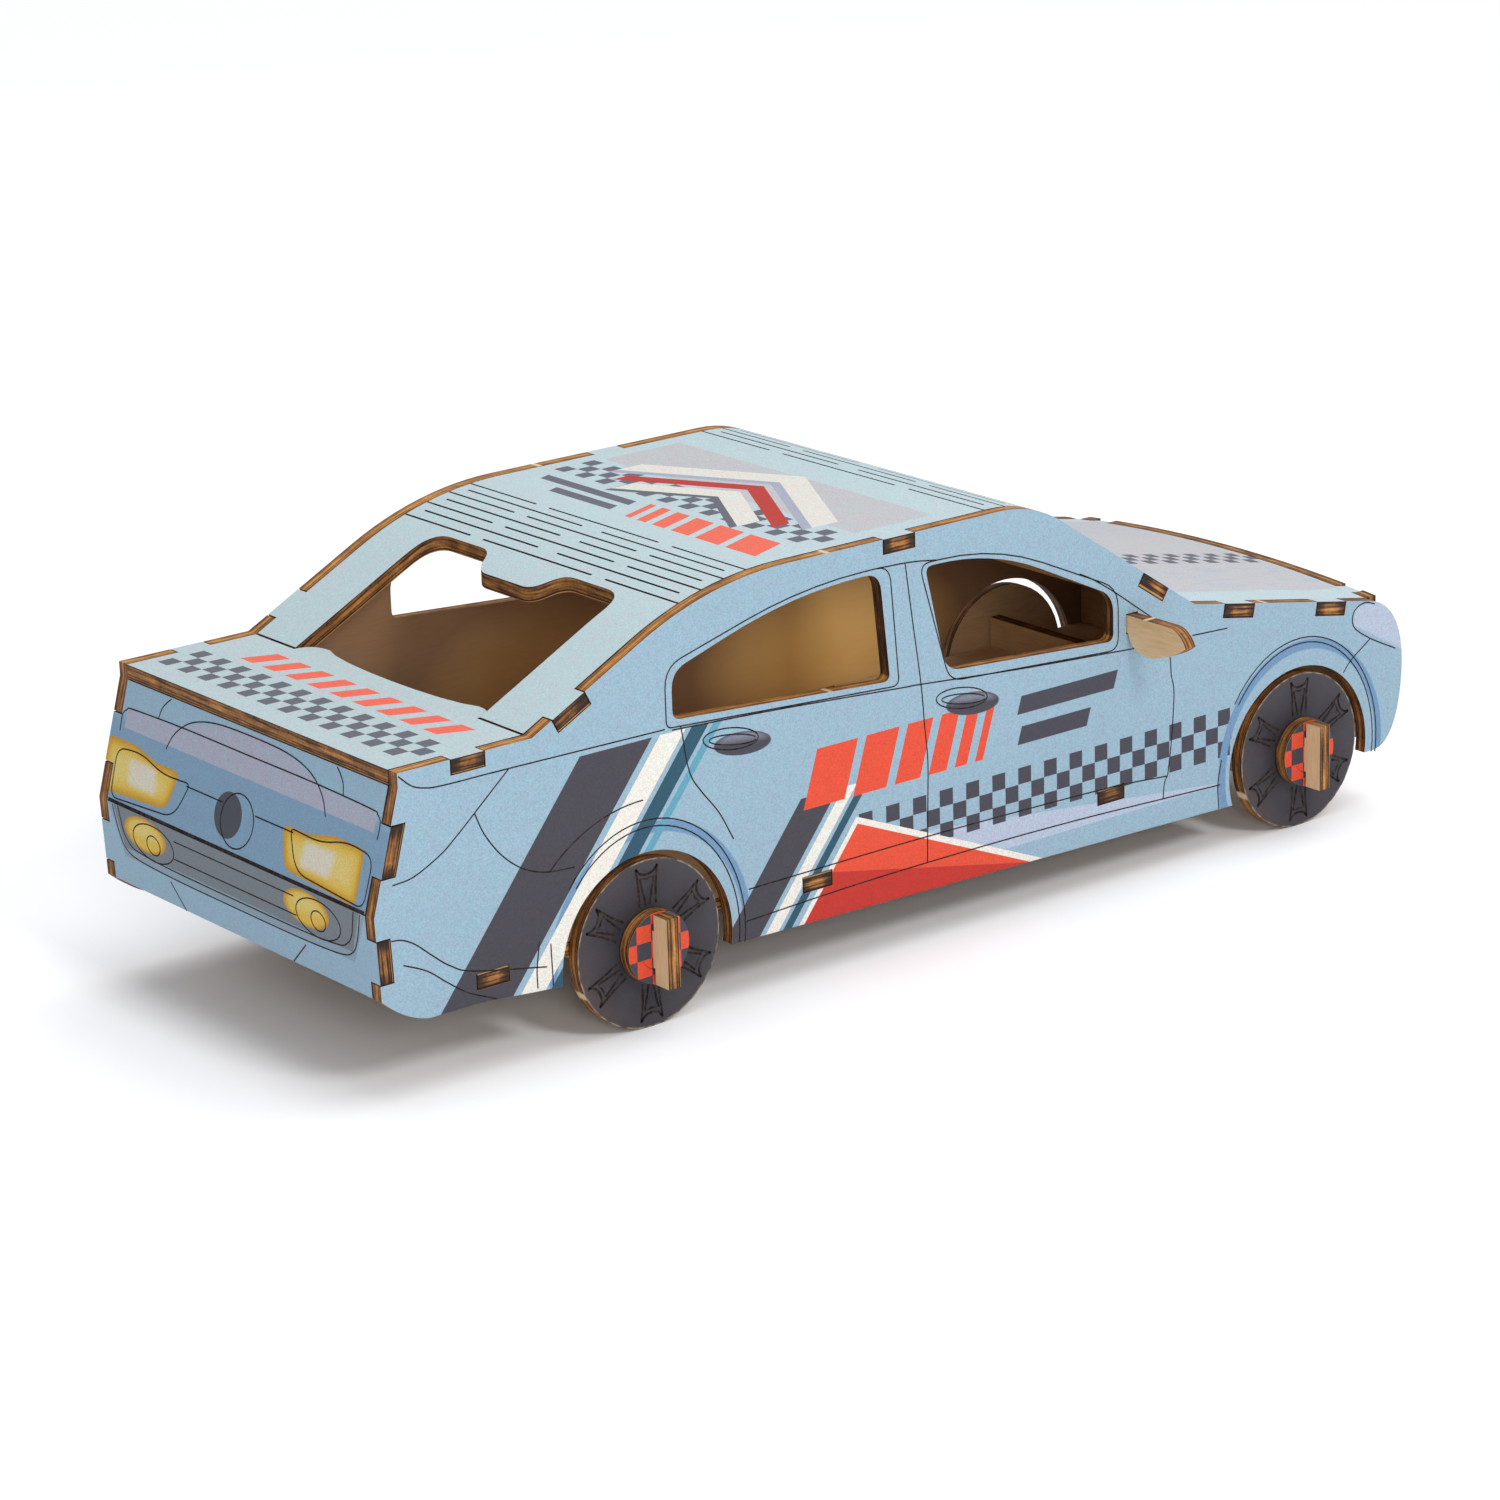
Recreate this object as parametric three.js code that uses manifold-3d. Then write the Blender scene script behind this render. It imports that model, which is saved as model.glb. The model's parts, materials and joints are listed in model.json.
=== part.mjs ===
// Saloon car model of laser-cut plywood: flat sheets locked by tabs, bent roof sheet, rolling wheels.
// Millimetres. X points to the front, Y to the car's left, Z up, and the wheels stand on Z = 0.
import * as THREE from 'three';
import { mergeVertices } from 'three/addons/utils/BufferGeometryUtils.js';
import Module from 'manifold-3d';

const wasm = await Module();
wasm.setup();

// Sheet and fits
const ply = 3;                    // thickness of every sheet
const fit = 0.3;                  // gap round tabs, in seams and under glued faces
const runningGap = 0.5;           // gap beside a turning wheel

// Top line of the body, from the boot to the hood
const bodyWidth = 103.2;          // over the outer faces of the two side sheets
const deckRearX = -134.5;
const deckHeight = 67.5;
const foldX = -102.6;             // where the boot deck meets the rear pillars
const pillarAngle = 27;           // slope of the rear pillars, degrees
const roofHeight = 90.4;
const rearBendReach = 20;         // length of the roof bend each way from its corner
const frontBendReach = 9.5;
const cowlX = 76.2;               // where the windscreen meets the hood
const cowlHeight = 58.7;
const screenAngle = 34;           // slope of the windscreen, degrees
const hoodAngle = 10.6;           // slope of the hood, degrees
const hoodCrown = 2.4;            // rise of the bowed hood at its middle

// Nose, tail and lower edge of the side sheets
const noseX = 141.6;
const noseHeight = 32;            // height of the foremost point
const noseSkirt = 12.5;
const hoodRoundX = 131;           // where the hood line starts to round off
const noseLead = 6;               // pull of the nose curve along the hood line
const noseBrow = 10;              // and above the foremost point
const noseJaw = 9;                // and below it
const chinReach = 9;              // length of the rounded chin
const chinPull = 2.4;
const kinkReach = 7.1;            // rearmost point, at the tail sheets' seam, behind the boot deck
const kinkHeight = 39.4;
const tailHeight = 22;            // foot of the lower tail sheet
const tailInset = 0.7;            // how far the foot of the tail stands in
const tailSkirt = 16;
const tailCorner = 11;            // length of the raked lower tail corner
const tailCornerSag = 0.8;
const tailSkirtRun = 20;          // length of the rise from the rear arch to the tail skirt
const tailSkirtRise = 2;
const sillFront = 9.4;
const sillRear = 12.4;

// Wheels and their pins
const wheelRadius = 18;
const rearAxleX = -76.1;
const frontAxleX = 108.4;
const archGap = 3.6;              // wheel arch radius beyond the wheel's
const archDrop = 2.1;             // arch centre below the axle
const archLap = 2.5;              // the sill line runs into the arch by this much
const wheelProud = 0.2;           // wheel face beyond the side sheet's outer face
const hubRadius = 7.7;
const stemHeight = 8;
const headHeight = 15;
const headDepth = 4.4;
const boreGap = 0.35;

// Floor and the two axle beams
const floorTop = 22;
const floorTabLength = 7.5;
const floorTabXs = [-114.5, -31.8, 51];
const floorRearMargin = 4;        // floor stops short of the lower tail sheet
const tongueWidth = 22;           // floor tongue in the front sheet
const beamRail = 7.2;             // height of the beam above the floor
const legWidth = 24;              // foot of the beam at each end, through the floor
const legDrop = 8;                // foot below the axle line

// Front sheet
const fasciaX = 133.2;            // rear face
const fasciaFoot = 14;
const hoodTabY = 41.5;            // middle of each hood tab in the front sheet
const hoodTabWidth = 5;

// Tabs along the top and tail lines
const pillarTabStart = 5.2;       // from the fold
const pillarTabRun = 7.8;
const roofTabX = -7.9;
const roofTabRun = 8.2;
const screenTabEnd = 8.1;         // from the cowl
const screenTabRun = 6.8;
const deckTabX = -118;
const deckTabRun = 7.8;
const hoodTabStarts = [9.4, 38.1]; // from the cowl
const hoodTabRun = 8.8;
const upperTailTab = [7.6, 17.6]; // heights above the seam
const lowerTailTab = [5, 13.8];   // depths below the seam

// Windows in the bent roof sheet
const pillarWidth = 15;           // rear pillars, across the car
const rearGlassFront = 7.8;       // rear window's front edge behind the bend corner
const glassCorner = 6;
const tongueRoot = 13.4;          // half width of the tongue at the rear window's front edge
const tongueTip = 9.6;
const tongueLength = 6.2;
const tongueRound = 3.2;
const screenPillar = 13;          // at the foot of the windscreen
const screenTaper = 2;            // the pillars are wider by this much at the top
const screenTopRail = 14;         // from the bend corner to the opening, along X
const screenFootRail = 7;

// Slits that let the roof sheet bend
const slitWidth = 0.5;
const slitPitch = 2.9;
const slitRows = 7;
const rearSlitStart = 5.5;        // first row behind the rear bend corner
const frontSlitStart = 11;
const slitCentre = 19.3;          // half length of the middle slit of a long row
const slitBridge = 4.6;           // wood left between two slits
const slitMiddle = 3.4;           // half the wood left at the middle of a short row
const slitEdge = 3.2;             // wood left beside a short row

// Front edge of the boot deck
const hornReach = 4.6;            // horns beside the rear window, ahead of the fold
const hollowReach = 1.6;          // middle of the edge, ahead of the fold
const hornY = 27;
const hollowPull = 20;            // half width of the hollow's flat stretch

// Side windows
const beltHeight = 59.3;          // lower edge of the windows at the door post
const beltFall = 0.07;            // the lower edge falls this much per length towards the front
const topRail = 6.8;              // wood above the side windows
const postX = -6;                 // middle of the door post, at its foot on the rear window
const postWidth = 10;
const rearGlassRear = 10.3;       // rear side window's rear edge behind the bend corner
const rearGlassShoulder = 10.1;   // height of its rear edge
const rearGlassLean = 2.3;        // lean of its front edge
const rearGlassCrest = 25;        // length of its flat upper edge
const rearGlassCurve = 18;
const frontGlassTopDrop = 1.2;    // front side window's upper edge below the rear one's
const frontGlassLean = 5.3;       // lean of its rear edge
const frontGlassCrest = 12;       // end of its flat upper edge behind the front bend corner
const frontGlassCurve = 15;
const frontGlassNose = 6.9;       // its front upper corner above the cowl
const screenPost = 24.2;          // from the cowl back to the front side window
const glassRound = 2;             // small and large corners of the side windows
const glassRoundLarge = 4;

// Door mirrors
const mirrorX = 56;               // rear face of the leaf
const mirrorTop = 60.3;
const mirrorRoot = 4;             // height of the tab in the side sheet
const mirrorReach = 18.4;
const mirrorHeight = 8.2;
const mirrorTipRise = 4.5;        // height of its tip above its lower edge
const mirrorBelly = 6.4;          // where its lower edge is lowest
const mirrorShoulder = 5.5;       // where its upper edge starts to fall to the tip
const mirrorRound = 1;

// Worked out from the sizes above
const halfOut = bodyWidth / 2;
const kinkX = deckRearX - kinkReach;
const halfIn = halfOut - ply;
const halfSheet = halfIn - fit;
const axleHeight = wheelRadius;
const archRadius = wheelRadius + archGap;
const floorBottom = floorTop - ply;
const through = 20;               // cutters run past the sheet by this much
const notchOver = 2;              // notches in an edge run out of it by this much
const slope = (degrees) => Math.tan(THREE.MathUtils.degToRad(degrees));
const rearCornerX = foldX + (roofHeight - deckHeight) / slope(pillarAngle);
const frontCornerX = cowlX - (roofHeight - cowlHeight) / slope(screenAngle);
const hoodZ = (x) => cowlHeight - (x - cowlX) * slope(hoodAngle);
const beltZ = (x) => beltHeight - (x - postX) * beltFall;
const point = (x, y) => new THREE.Vector2(x, y);

// Solids

function solid(geometry) {
  geometry.deleteAttribute('normal');
  geometry.deleteAttribute('uv');
  const merged = mergeVertices(geometry, 1e-4);
  return new wasm.Manifold(new wasm.Mesh({
    numProp: 3,
    vertProperties: new Float32Array(merged.attributes.position.array),
    triVerts: new Uint32Array(merged.index.array),
  }));
}

function extrude(shape, depth, curveSegments) {
  return new THREE.ExtrudeGeometry(shape, { depth, bevelEnabled: false, curveSegments });
}

// An outline drawn in X and Z, filled between two values of Y.
function acrossY(shape, y0, y1, curveSegments = 8) {
  return solid(extrude(shape, y1 - y0, curveSegments).rotateX(Math.PI / 2).translate(0, y1, 0));
}

// An outline drawn in Y and Z, filled between two values of X.
function alongX(shape, x0, x1, curveSegments = 8) {
  const turn = new THREE.Matrix4().makeBasis(
    new THREE.Vector3(0, 1, 0),
    new THREE.Vector3(0, 0, 1),
    new THREE.Vector3(1, 0, 0),
  );
  return solid(extrude(shape, x1 - x0, curveSegments).applyMatrix4(turn).translate(x0, 0, 0));
}

// An outline drawn in X and Y, filled between two heights.
function upZ(shape, z0, z1, curveSegments = 8) {
  return solid(extrude(shape, z1 - z0, curveSegments).translate(0, 0, z0));
}

// A round disc with its axis along Y.
function disc(radius, y0, y1, sides, x = 0, z = 0) {
  const geometry = new THREE.CylinderGeometry(radius, radius, y1 - y0, sides);
  return solid(geometry.translate(x, (y0 + y1) / 2, z));
}

function rectangle(x0, x1, y0, y1) {
  return new THREE.Shape([point(x0, y0), point(x1, y0), point(x1, y1), point(x0, y1)]);
}

// An outline through corner points, each rounded over its own reach as far as the edges allow.
function rounded(corners) {
  const outline = new THREE.Shape();
  corners.forEach(([x, y, reach], i) => {
    const here = point(x, y);
    const along = ([nextX, nextY, nextReach]) => {
      const way = point(nextX, nextY).sub(here);
      const room = Math.max(way.length() - nextReach, 0);
      return here.clone().addScaledVector(way.normalize(), Math.min(reach, room));
    };
    const start = along(corners.at(i - 1));
    const end = along(corners[(i + 1) % corners.length]);
    if (i === 0) outline.moveTo(start.x, start.y);
    else outline.lineTo(start.x, start.y);
    if (reach > 0) outline.quadraticCurveTo(x, y, end.x, end.y);
  });
  return outline;
}

function join(solids) {
  return solids.reduce((whole, next) => whole.add(next));
}

function cut(body, cutters) {
  return cutters.reduce((rest, next) => rest.subtract(next), body);
}

const car = new THREE.Group();
const finishes = {
  skyBlue: { color: 0x94bddb, roughness: 0.55, metalness: 0 },
  paleBlue: { color: 0xb7d3e0, roughness: 0.55, metalness: 0 },
  tailBlue: { color: 0x86b0d6, roughness: 0.55, metalness: 0 },
  tyreGrey: { color: 0x4c4b54, roughness: 0.6, metalness: 0 },
  hubOrange: { color: 0xd9472b, roughness: 0.6, metalness: 0 },
  rawPly: { color: 0xc39a68, roughness: 0.7, metalness: 0 },
};

function addPiece(name, manifold, finish, parent = car) {
  const { vertProperties, triVerts } = manifold.getMesh();
  const geometry = new THREE.BufferGeometry();
  geometry.setAttribute('position', new THREE.BufferAttribute(vertProperties, 3));
  geometry.setIndex(new THREE.BufferAttribute(triVerts, 1));
  geometry.computeVertexNormals();
  const mesh = new THREE.Mesh(geometry, new THREE.MeshStandardMaterial(finishes[finish]));
  mesh.name = name;
  parent.add(mesh);
  return mesh;
}

// Outline of the top, drawn in X and Z

const ahead = point(1, 0);
const pillarWay = point(1, slope(pillarAngle)).normalize();
const screenWay = point(1, -slope(screenAngle)).normalize();

function bendLine(corner, wayIn, wayOut, reach, steps) {
  const start = corner.clone().addScaledVector(wayIn, -reach);
  const end = corner.clone().addScaledVector(wayOut, reach);
  return new THREE.QuadraticBezierCurve(start, corner, end).getPoints(steps);
}

const roofLine = [
  point(foldX, deckHeight),
  ...bendLine(point(rearCornerX, roofHeight), pillarWay, ahead, rearBendReach, 12),
  ...bendLine(point(frontCornerX, roofHeight), ahead, screenWay, frontBendReach, 8),
  point(cowlX, cowlHeight),
];
const hoodLine = [point(cowlX, cowlHeight), point(hoodRoundX, hoodZ(hoodRoundX))];

// The stretch of a line between two values of X.
function between(line, x0, x1) {
  const at = (x) => {
    const next = Math.max(1, line.findIndex((p) => p.x >= x));
    const [a, b] = [line[next - 1], line[next]];
    return a.clone().lerp(b, (x - a.x) / (b.x - a.x));
  };
  return [at(x0), ...line.filter((p) => p.x > x0 + 0.01 && p.x < x1 - 0.01), at(x1)];
}

// A sheet that follows a line: from an outer offset down to an inner one.
function strip(line, inner, outer = 0) {
  const shifted = (distance) => line.map((p, i) => {
    const before = line[Math.max(0, i - 1)];
    const after = line[Math.min(line.length - 1, i + 1)];
    const way = after.clone().sub(before).normalize();
    return point(p.x + way.y * distance, p.y - way.x * distance);
  });
  return new THREE.Shape([...shifted(-outer), ...shifted(inner).reverse()]);
}

const roofTabs = [
  [foldX + pillarTabStart, foldX + pillarTabStart + pillarTabRun],
  [roofTabX - roofTabRun / 2, roofTabX + roofTabRun / 2],
  [cowlX - screenTabEnd - screenTabRun, cowlX - screenTabEnd],
];
const hoodTabs = hoodTabStarts.map((start) => [cowlX + start, cowlX + start + hoodTabRun]);

// Lines of the tail: the rear edge of the side sheets carries both tail sheets
const tailTopZ = deckHeight - ply;
const lean = (deckRearX - kinkX) / (tailTopZ - kinkHeight);
const upperTailX = (z) => kinkX + (z - kinkHeight) * lean;
const undercut = tailInset / (kinkHeight - tailHeight);
const lowerTailX = (z) => kinkX + (kinkHeight - z) * undercut;

// A tail sheet's section between two heights, with its thickness square to the sheet.
function tailSection(xAt, steepness, z0, z1, inner = 0, outer = 0) {
  const thickness = ply * Math.hypot(1, steepness) + inner;
  return new THREE.Shape([
    point(xAt(z0) - outer, z0),
    point(xAt(z0) + thickness, z0),
    point(xAt(z1) + thickness, z1),
    point(xAt(z1) - outer, z1),
  ]);
}

const upperTab = upperTailTab.map((rise) => kinkHeight + rise);
const lowerTab = lowerTailTab.map((depth) => kinkHeight - depth).reverse();

// Side sheets

function rearSideWindow() {
  const rear = rearCornerX - rearGlassRear;
  const front = postX - postWidth / 2;
  const top = roofHeight - topRail;
  return rounded([
    [rear, beltZ(rear), glassRound],
    [front, beltZ(front), glassRound],
    [front - rearGlassLean, top, glassRoundLarge],
    [front - rearGlassCrest, top, rearGlassCurve],
    [rear, beltZ(rear) + rearGlassShoulder, glassRoundLarge],
  ]);
}

function frontSideWindow() {
  const rear = postX + postWidth / 2;
  const heel = rear + frontGlassLean;
  const front = cowlX - screenPost;
  const top = roofHeight - topRail - frontGlassTopDrop;
  return rounded([
    [heel, beltZ(heel), glassRoundLarge],
    [front, beltZ(front), glassRound],
    [front, cowlHeight + frontGlassNose, glassRoundLarge],
    [frontCornerX - frontGlassCrest, top, frontGlassCurve],
    [rear, top, glassRound],
  ]);
}

function sideOutline() {
  const tailX = lowerTailX(tailHeight);
  const outline = new THREE.Shape();
  outline.moveTo(tailX, tailHeight);
  outline.lineTo(kinkX, kinkHeight);
  outline.lineTo(deckRearX, tailTopZ);
  outline.lineTo(deckRearX, deckHeight);
  roofLine.forEach((p) => outline.lineTo(p.x, p.y));
  hoodLine.slice(1).forEach((p) => outline.lineTo(p.x, p.y));
  const leadX = hoodRoundX + noseLead;
  outline.bezierCurveTo(leadX, hoodZ(leadX), noseX, noseHeight + noseBrow, noseX, noseHeight);
  const [jaw, chinX] = [noseHeight - noseJaw, noseX - chinReach];
  outline.bezierCurveTo(noseX, jaw, noseX - chinPull, noseSkirt, chinX, noseSkirt);
  outline.lineTo(frontAxleX + archRadius - archLap, noseSkirt);
  outline.lineTo(frontAxleX - archRadius + archLap, sillFront);
  outline.lineTo(rearAxleX + archRadius - archLap, sillRear);
  outline.lineTo(rearAxleX - archRadius + archLap, tailSkirt - tailSkirtRise);
  outline.lineTo(rearAxleX - archRadius - tailSkirtRun, tailSkirt);
  outline.lineTo(tailX + tailCorner, tailSkirt);
  outline.quadraticCurveTo(tailX + tailCorner / 2, tailSkirt + tailCornerSag, tailX, tailHeight);
  return outline;
}

function sideSheet() {
  const notch = (shape) => acrossY(shape, -through, through);
  const topNotch = (line, [x0, x1]) => notch(strip(between(line, x0 - fit, x1 + fit), ply + fit, notchOver));
  const deckLine = [point(deckRearX, deckHeight), point(foldX, deckHeight)];
  const deckTab = [deckTabX - deckTabRun / 2, deckTabX + deckTabRun / 2];
  const archZ = axleHeight - archDrop;
  const half = floorTabLength / 2 + fit;
  const mirrorFoot = mirrorTop - mirrorRoot;
  return cut(acrossY(sideOutline(), -ply / 2, ply / 2, 10), [
    disc(archRadius, -through, through, 72, rearAxleX, archZ),
    disc(archRadius, -through, through, 72, frontAxleX, archZ),
    notch(rearSideWindow()),
    notch(frontSideWindow()),
    ...floorTabXs.map((x) => notch(rectangle(x - half, x + half, floorBottom - fit, floorTop + fit))),
    notch(rectangle(mirrorX - fit, mirrorX + ply + fit, mirrorFoot - fit, mirrorTop + fit)),
    topNotch(deckLine, deckTab),
    ...roofTabs.map((tab) => topNotch(roofLine, tab)),
    ...hoodTabs.map((tab) => topNotch(hoodLine, tab)),
    notch(tailSection(upperTailX, lean, upperTab[0] - fit, upperTab[1] + fit, fit, notchOver)),
    notch(tailSection(lowerTailX, undercut, lowerTab[0] - fit, lowerTab[1] + fit, fit, notchOver)),
  ]);
}

const sheetMiddle = halfOut - ply / 2;
addPiece('side_right', sideSheet(), 'skyBlue').position.y = -sheetMiddle;
addPiece('side_left', sideSheet(), 'skyBlue').position.y = sheetMiddle;

// Bent roof sheet: rear pillars, roof and windscreen frame in one piece

function rearGlassOpening() {
  const half = halfIn - pillarWidth;
  const rear = foldX - through;
  const front = rearCornerX - rearGlassFront;
  const tip = front - tongueLength;
  return rounded([
    [rear, -half, 0],
    [front, -half, glassCorner],
    [front, -tongueRoot, tongueRound],
    [tip, -tongueTip, tongueRound],
    [tip, tongueTip, tongueRound],
    [front, tongueRoot, tongueRound],
    [front, half, glassCorner],
    [rear, half, 0],
  ]);
}

function screenOpening() {
  const half = halfIn - screenPillar;
  const top = frontCornerX + screenTopRail;
  const foot = cowlX - screenFootRail;
  return rounded([
    [top, screenTaper - half, glassCorner],
    [foot, -half, glassCorner],
    [foot, half, glassCorner],
    [top, half - screenTaper, glassCorner],
  ]);
}

// Rows of slits across the sheet: long rows run out of both edges, short rows lie between them.
function slitRow(x, isLong) {
  const outer = isLong ? halfOut : halfSheet - slitEdge;
  const side = isLong ? slitCentre + slitBridge : slitMiddle;
  const spans = [[-outer, -side], [side, outer]];
  if (isLong) spans.push([-slitCentre, slitCentre]);
  const [x0, x1] = [x - slitWidth / 2, x + slitWidth / 2];
  return spans.map(([y0, y1]) => upZ(rectangle(x0, x1, y0, y1), 0, roofHeight + through));
}

function bendSlits(firstX) {
  const rows = Array.from({ length: slitRows }, (_, i) => slitRow(firstX + i * slitPitch, i % 2 === 0));
  return rows.flat();
}

function roofSheet() {
  const line = between(roofLine, foldX + fit, cowlX - fit);
  const body = acrossY(strip(line, ply), -halfSheet, halfSheet);
  const tabs = roofTabs.map(([x0, x1]) => acrossY(strip(between(roofLine, x0, x1), ply), -halfOut, halfOut));
  return cut(join([body, ...tabs]), [
    upZ(rearGlassOpening(), 0, roofHeight + through),
    upZ(screenOpening(), 0, roofHeight + through),
    ...bendSlits(rearCornerX - rearSlitStart),
    ...bendSlits(frontCornerX - frontSlitStart),
  ]);
}

addPiece('roof_panel', roofSheet(), 'paleBlue');

// Boot deck

function deckOutline() {
  const [tab0, tab1] = [deckTabX - deckTabRun / 2, deckTabX + deckTabRun / 2];
  const half = halfIn - pillarWidth - fit;
  const edge = foldX - fit;
  const hollowX = foldX + (4 * hollowReach - hornReach) / 3;
  const outline = new THREE.Shape();
  outline.moveTo(deckRearX, -halfSheet);
  outline.lineTo(tab0, -halfSheet);
  outline.lineTo(tab0, -halfOut);
  outline.lineTo(tab1, -halfOut);
  outline.lineTo(tab1, -halfSheet);
  outline.lineTo(edge, -halfSheet);
  outline.lineTo(edge, -half);
  outline.quadraticCurveTo(foldX + hornReach, -half, foldX + hornReach, -hornY);
  outline.bezierCurveTo(hollowX, -hollowPull, hollowX, hollowPull, foldX + hornReach, hornY);
  outline.quadraticCurveTo(foldX + hornReach, half, edge, half);
  outline.lineTo(edge, halfSheet);
  outline.lineTo(tab1, halfSheet);
  outline.lineTo(tab1, halfOut);
  outline.lineTo(tab0, halfOut);
  outline.lineTo(tab0, halfSheet);
  outline.lineTo(deckRearX, halfSheet);
  return outline;
}

addPiece('boot_deck', upZ(deckOutline(), deckHeight - ply, deckHeight), 'paleBlue');

// Tail sheets

function tailSheet(xAt, steepness, z0, z1, [tab0, tab1]) {
  return join([
    acrossY(tailSection(xAt, steepness, z0, z1), -halfSheet, halfSheet),
    acrossY(tailSection(xAt, steepness, tab0, tab1), -halfOut, halfOut),
  ]);
}

const upperTail = tailSheet(upperTailX, lean, kinkHeight + fit / 2, tailTopZ - fit, upperTab);
const lowerTail = tailSheet(lowerTailX, undercut, tailHeight, kinkHeight - fit / 2, lowerTab);
addPiece('rear_upper_panel', upperTail, 'tailBlue');
addPiece('rear_lower_panel', lowerTail, 'tailBlue');

// Bowed hood, made level at the origin and then laid on its slope

const hoodTilt = THREE.MathUtils.degToRad(hoodAngle);
const bow = (y) => hoodCrown * (1 - (y / halfSheet) ** 2);
const bowSteps = 20;
const tabBowSteps = 2;
const tabLap = 1;                 // tabs reach this far into the bowed sheet

function bowedSection(y0, y1, steps) {
  const ys = Array.from({ length: steps + 1 }, (_, i) => y0 + (y1 - y0) * i / steps);
  const top = ys.map((y) => point(y, bow(y)));
  const under = ys.map((y) => point(y, bow(y) - ply)).reverse();
  return new THREE.Shape([...top, ...under]);
}

function hoodSheet() {
  const run = (x) => (x - cowlX) / Math.cos(hoodTilt);
  const bowLead = hoodCrown * Math.sin(hoodTilt);
  const end = run(fasciaX - fit - bowLead);
  const reach = run(fasciaX + ply);
  const [tab0, tab1] = [hoodTabY - hoodTabWidth / 2, hoodTabY + hoodTabWidth / 2];
  const root = halfSheet - tabLap;
  const sideTabs = hoodTabs.flatMap(([x0, x1]) => [
    alongX(rectangle(-halfOut, -root, -ply, 0), run(x0), run(x1)),
    alongX(rectangle(root, halfOut, -ply, 0), run(x0), run(x1)),
  ]);
  return join([
    alongX(bowedSection(-halfSheet, halfSheet, bowSteps), fit, end),
    alongX(bowedSection(-tab1, -tab0, tabBowSteps), end - tabLap, reach),
    alongX(bowedSection(tab0, tab1, tabBowSteps), end - tabLap, reach),
    ...sideTabs,
  ]);
}

const hood = addPiece('hood', hoodSheet(), 'paleBlue');
hood.position.set(cowlX, 0, cowlHeight);
hood.rotation.y = hoodTilt;

// Front sheet under the hood's front edge

function fasciaSheet() {
  const edge = hoodZ(fasciaX);
  const ys = Array.from({ length: bowSteps + 1 }, (_, i) => halfSheet * (1 - 2 * i / bowSteps));
  const outline = new THREE.Shape([
    point(-halfSheet, fasciaFoot),
    point(halfSheet, fasciaFoot),
    ...ys.map((y) => point(y, edge + bow(y))),
  ]);
  const cutter = (shape) => alongX(shape, fasciaX - 1, fasciaX + ply + 1);
  const half = tongueWidth / 2 + fit;
  const notchFoot = hoodZ(fasciaX + ply) - ply / Math.cos(hoodTilt) - fit;
  const notchHalf = hoodTabWidth / 2 + fit;
  return cut(alongX(outline, fasciaX, fasciaX + ply), [
    cutter(rectangle(-half, half, floorBottom - fit, floorTop + fit)),
    ...[-hoodTabY, hoodTabY].map((y) => (
      cutter(rectangle(y - notchHalf, y + notchHalf, notchFoot, edge + through))
    )),
  ]);
}

addPiece('front_fascia', fasciaSheet(), 'skyBlue');

// Floor, notched at its edges for the beam feet and the pins

const pinBackX = (axleX) => axleX - ply / 2;
const pinFrontX = (axleX) => axleX + ply / 2;
const beamFrontX = (axleX) => pinBackX(axleX) - fit;
const beamBackX = (axleX) => beamFrontX(axleX) - ply;
const legInner = halfSheet - legWidth;

function floorSheet() {
  const rear = lowerTailX(tailHeight) + ply + floorRearMargin;
  const half = floorTabLength / 2;
  const sheet = upZ(rectangle(rear, fasciaX - fit, -halfSheet, halfSheet), floorBottom, floorTop);
  const tongue = upZ(
    rectangle(fasciaX - ply, fasciaX + ply, -tongueWidth / 2, tongueWidth / 2), floorBottom, floorTop);
  const tabs = floorTabXs.map((x) => (
    upZ(rectangle(x - half, x + half, -halfOut, halfOut), floorBottom, floorTop)
  ));
  const notches = [rearAxleX, frontAxleX].flatMap((x) => [-1, 1].map((side) => {
    const ys = [side * (legInner - fit), side * halfOut].sort((a, b) => a - b);
    return upZ(rectangle(beamBackX(x) - fit, pinFrontX(x) + fit, ...ys), 0, floorTop + 1);
  }));
  return cut(join([sheet, tongue, ...tabs]), notches);
}

addPiece('floor_plate', floorSheet(), 'rawPly');

// Axle beams: a rail on the floor with a foot through the floor at each end

function axleBeam(axleX) {
  const foot = axleHeight - legDrop;
  const seat = floorTop + fit;
  const outline = new THREE.Shape([
    point(-halfSheet, foot),
    point(-legInner, foot),
    point(-legInner, seat),
    point(legInner, seat),
    point(legInner, foot),
    point(halfSheet, foot),
    point(halfSheet, floorTop + beamRail),
    point(-halfSheet, floorTop + beamRail),
  ]);
  return alongX(outline, beamBackX(axleX), beamFrontX(axleX));
}

addPiece('rear_axle_beam', axleBeam(rearAxleX), 'rawPly');
addPiece('front_axle_beam', axleBeam(frontAxleX), 'rawPly');

// Wheel stations, each drawn for the left side with its axle along Y and turned round for the right

const wheelInner = halfIn + wheelProud;
const wheelOuter = wheelInner + ply;
const hubInner = wheelOuter + fit;
const hubOuter = hubInner + ply;
const headInner = hubOuter + runningGap;
const bore = Math.hypot(stemHeight, ply) / 2 + boreGap;

function boredDisc(radius, y0, y1, sides) {
  return disc(radius, y0, y1, sides).subtract(disc(bore, y0 - 1, y1 + 1, 24));
}

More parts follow.
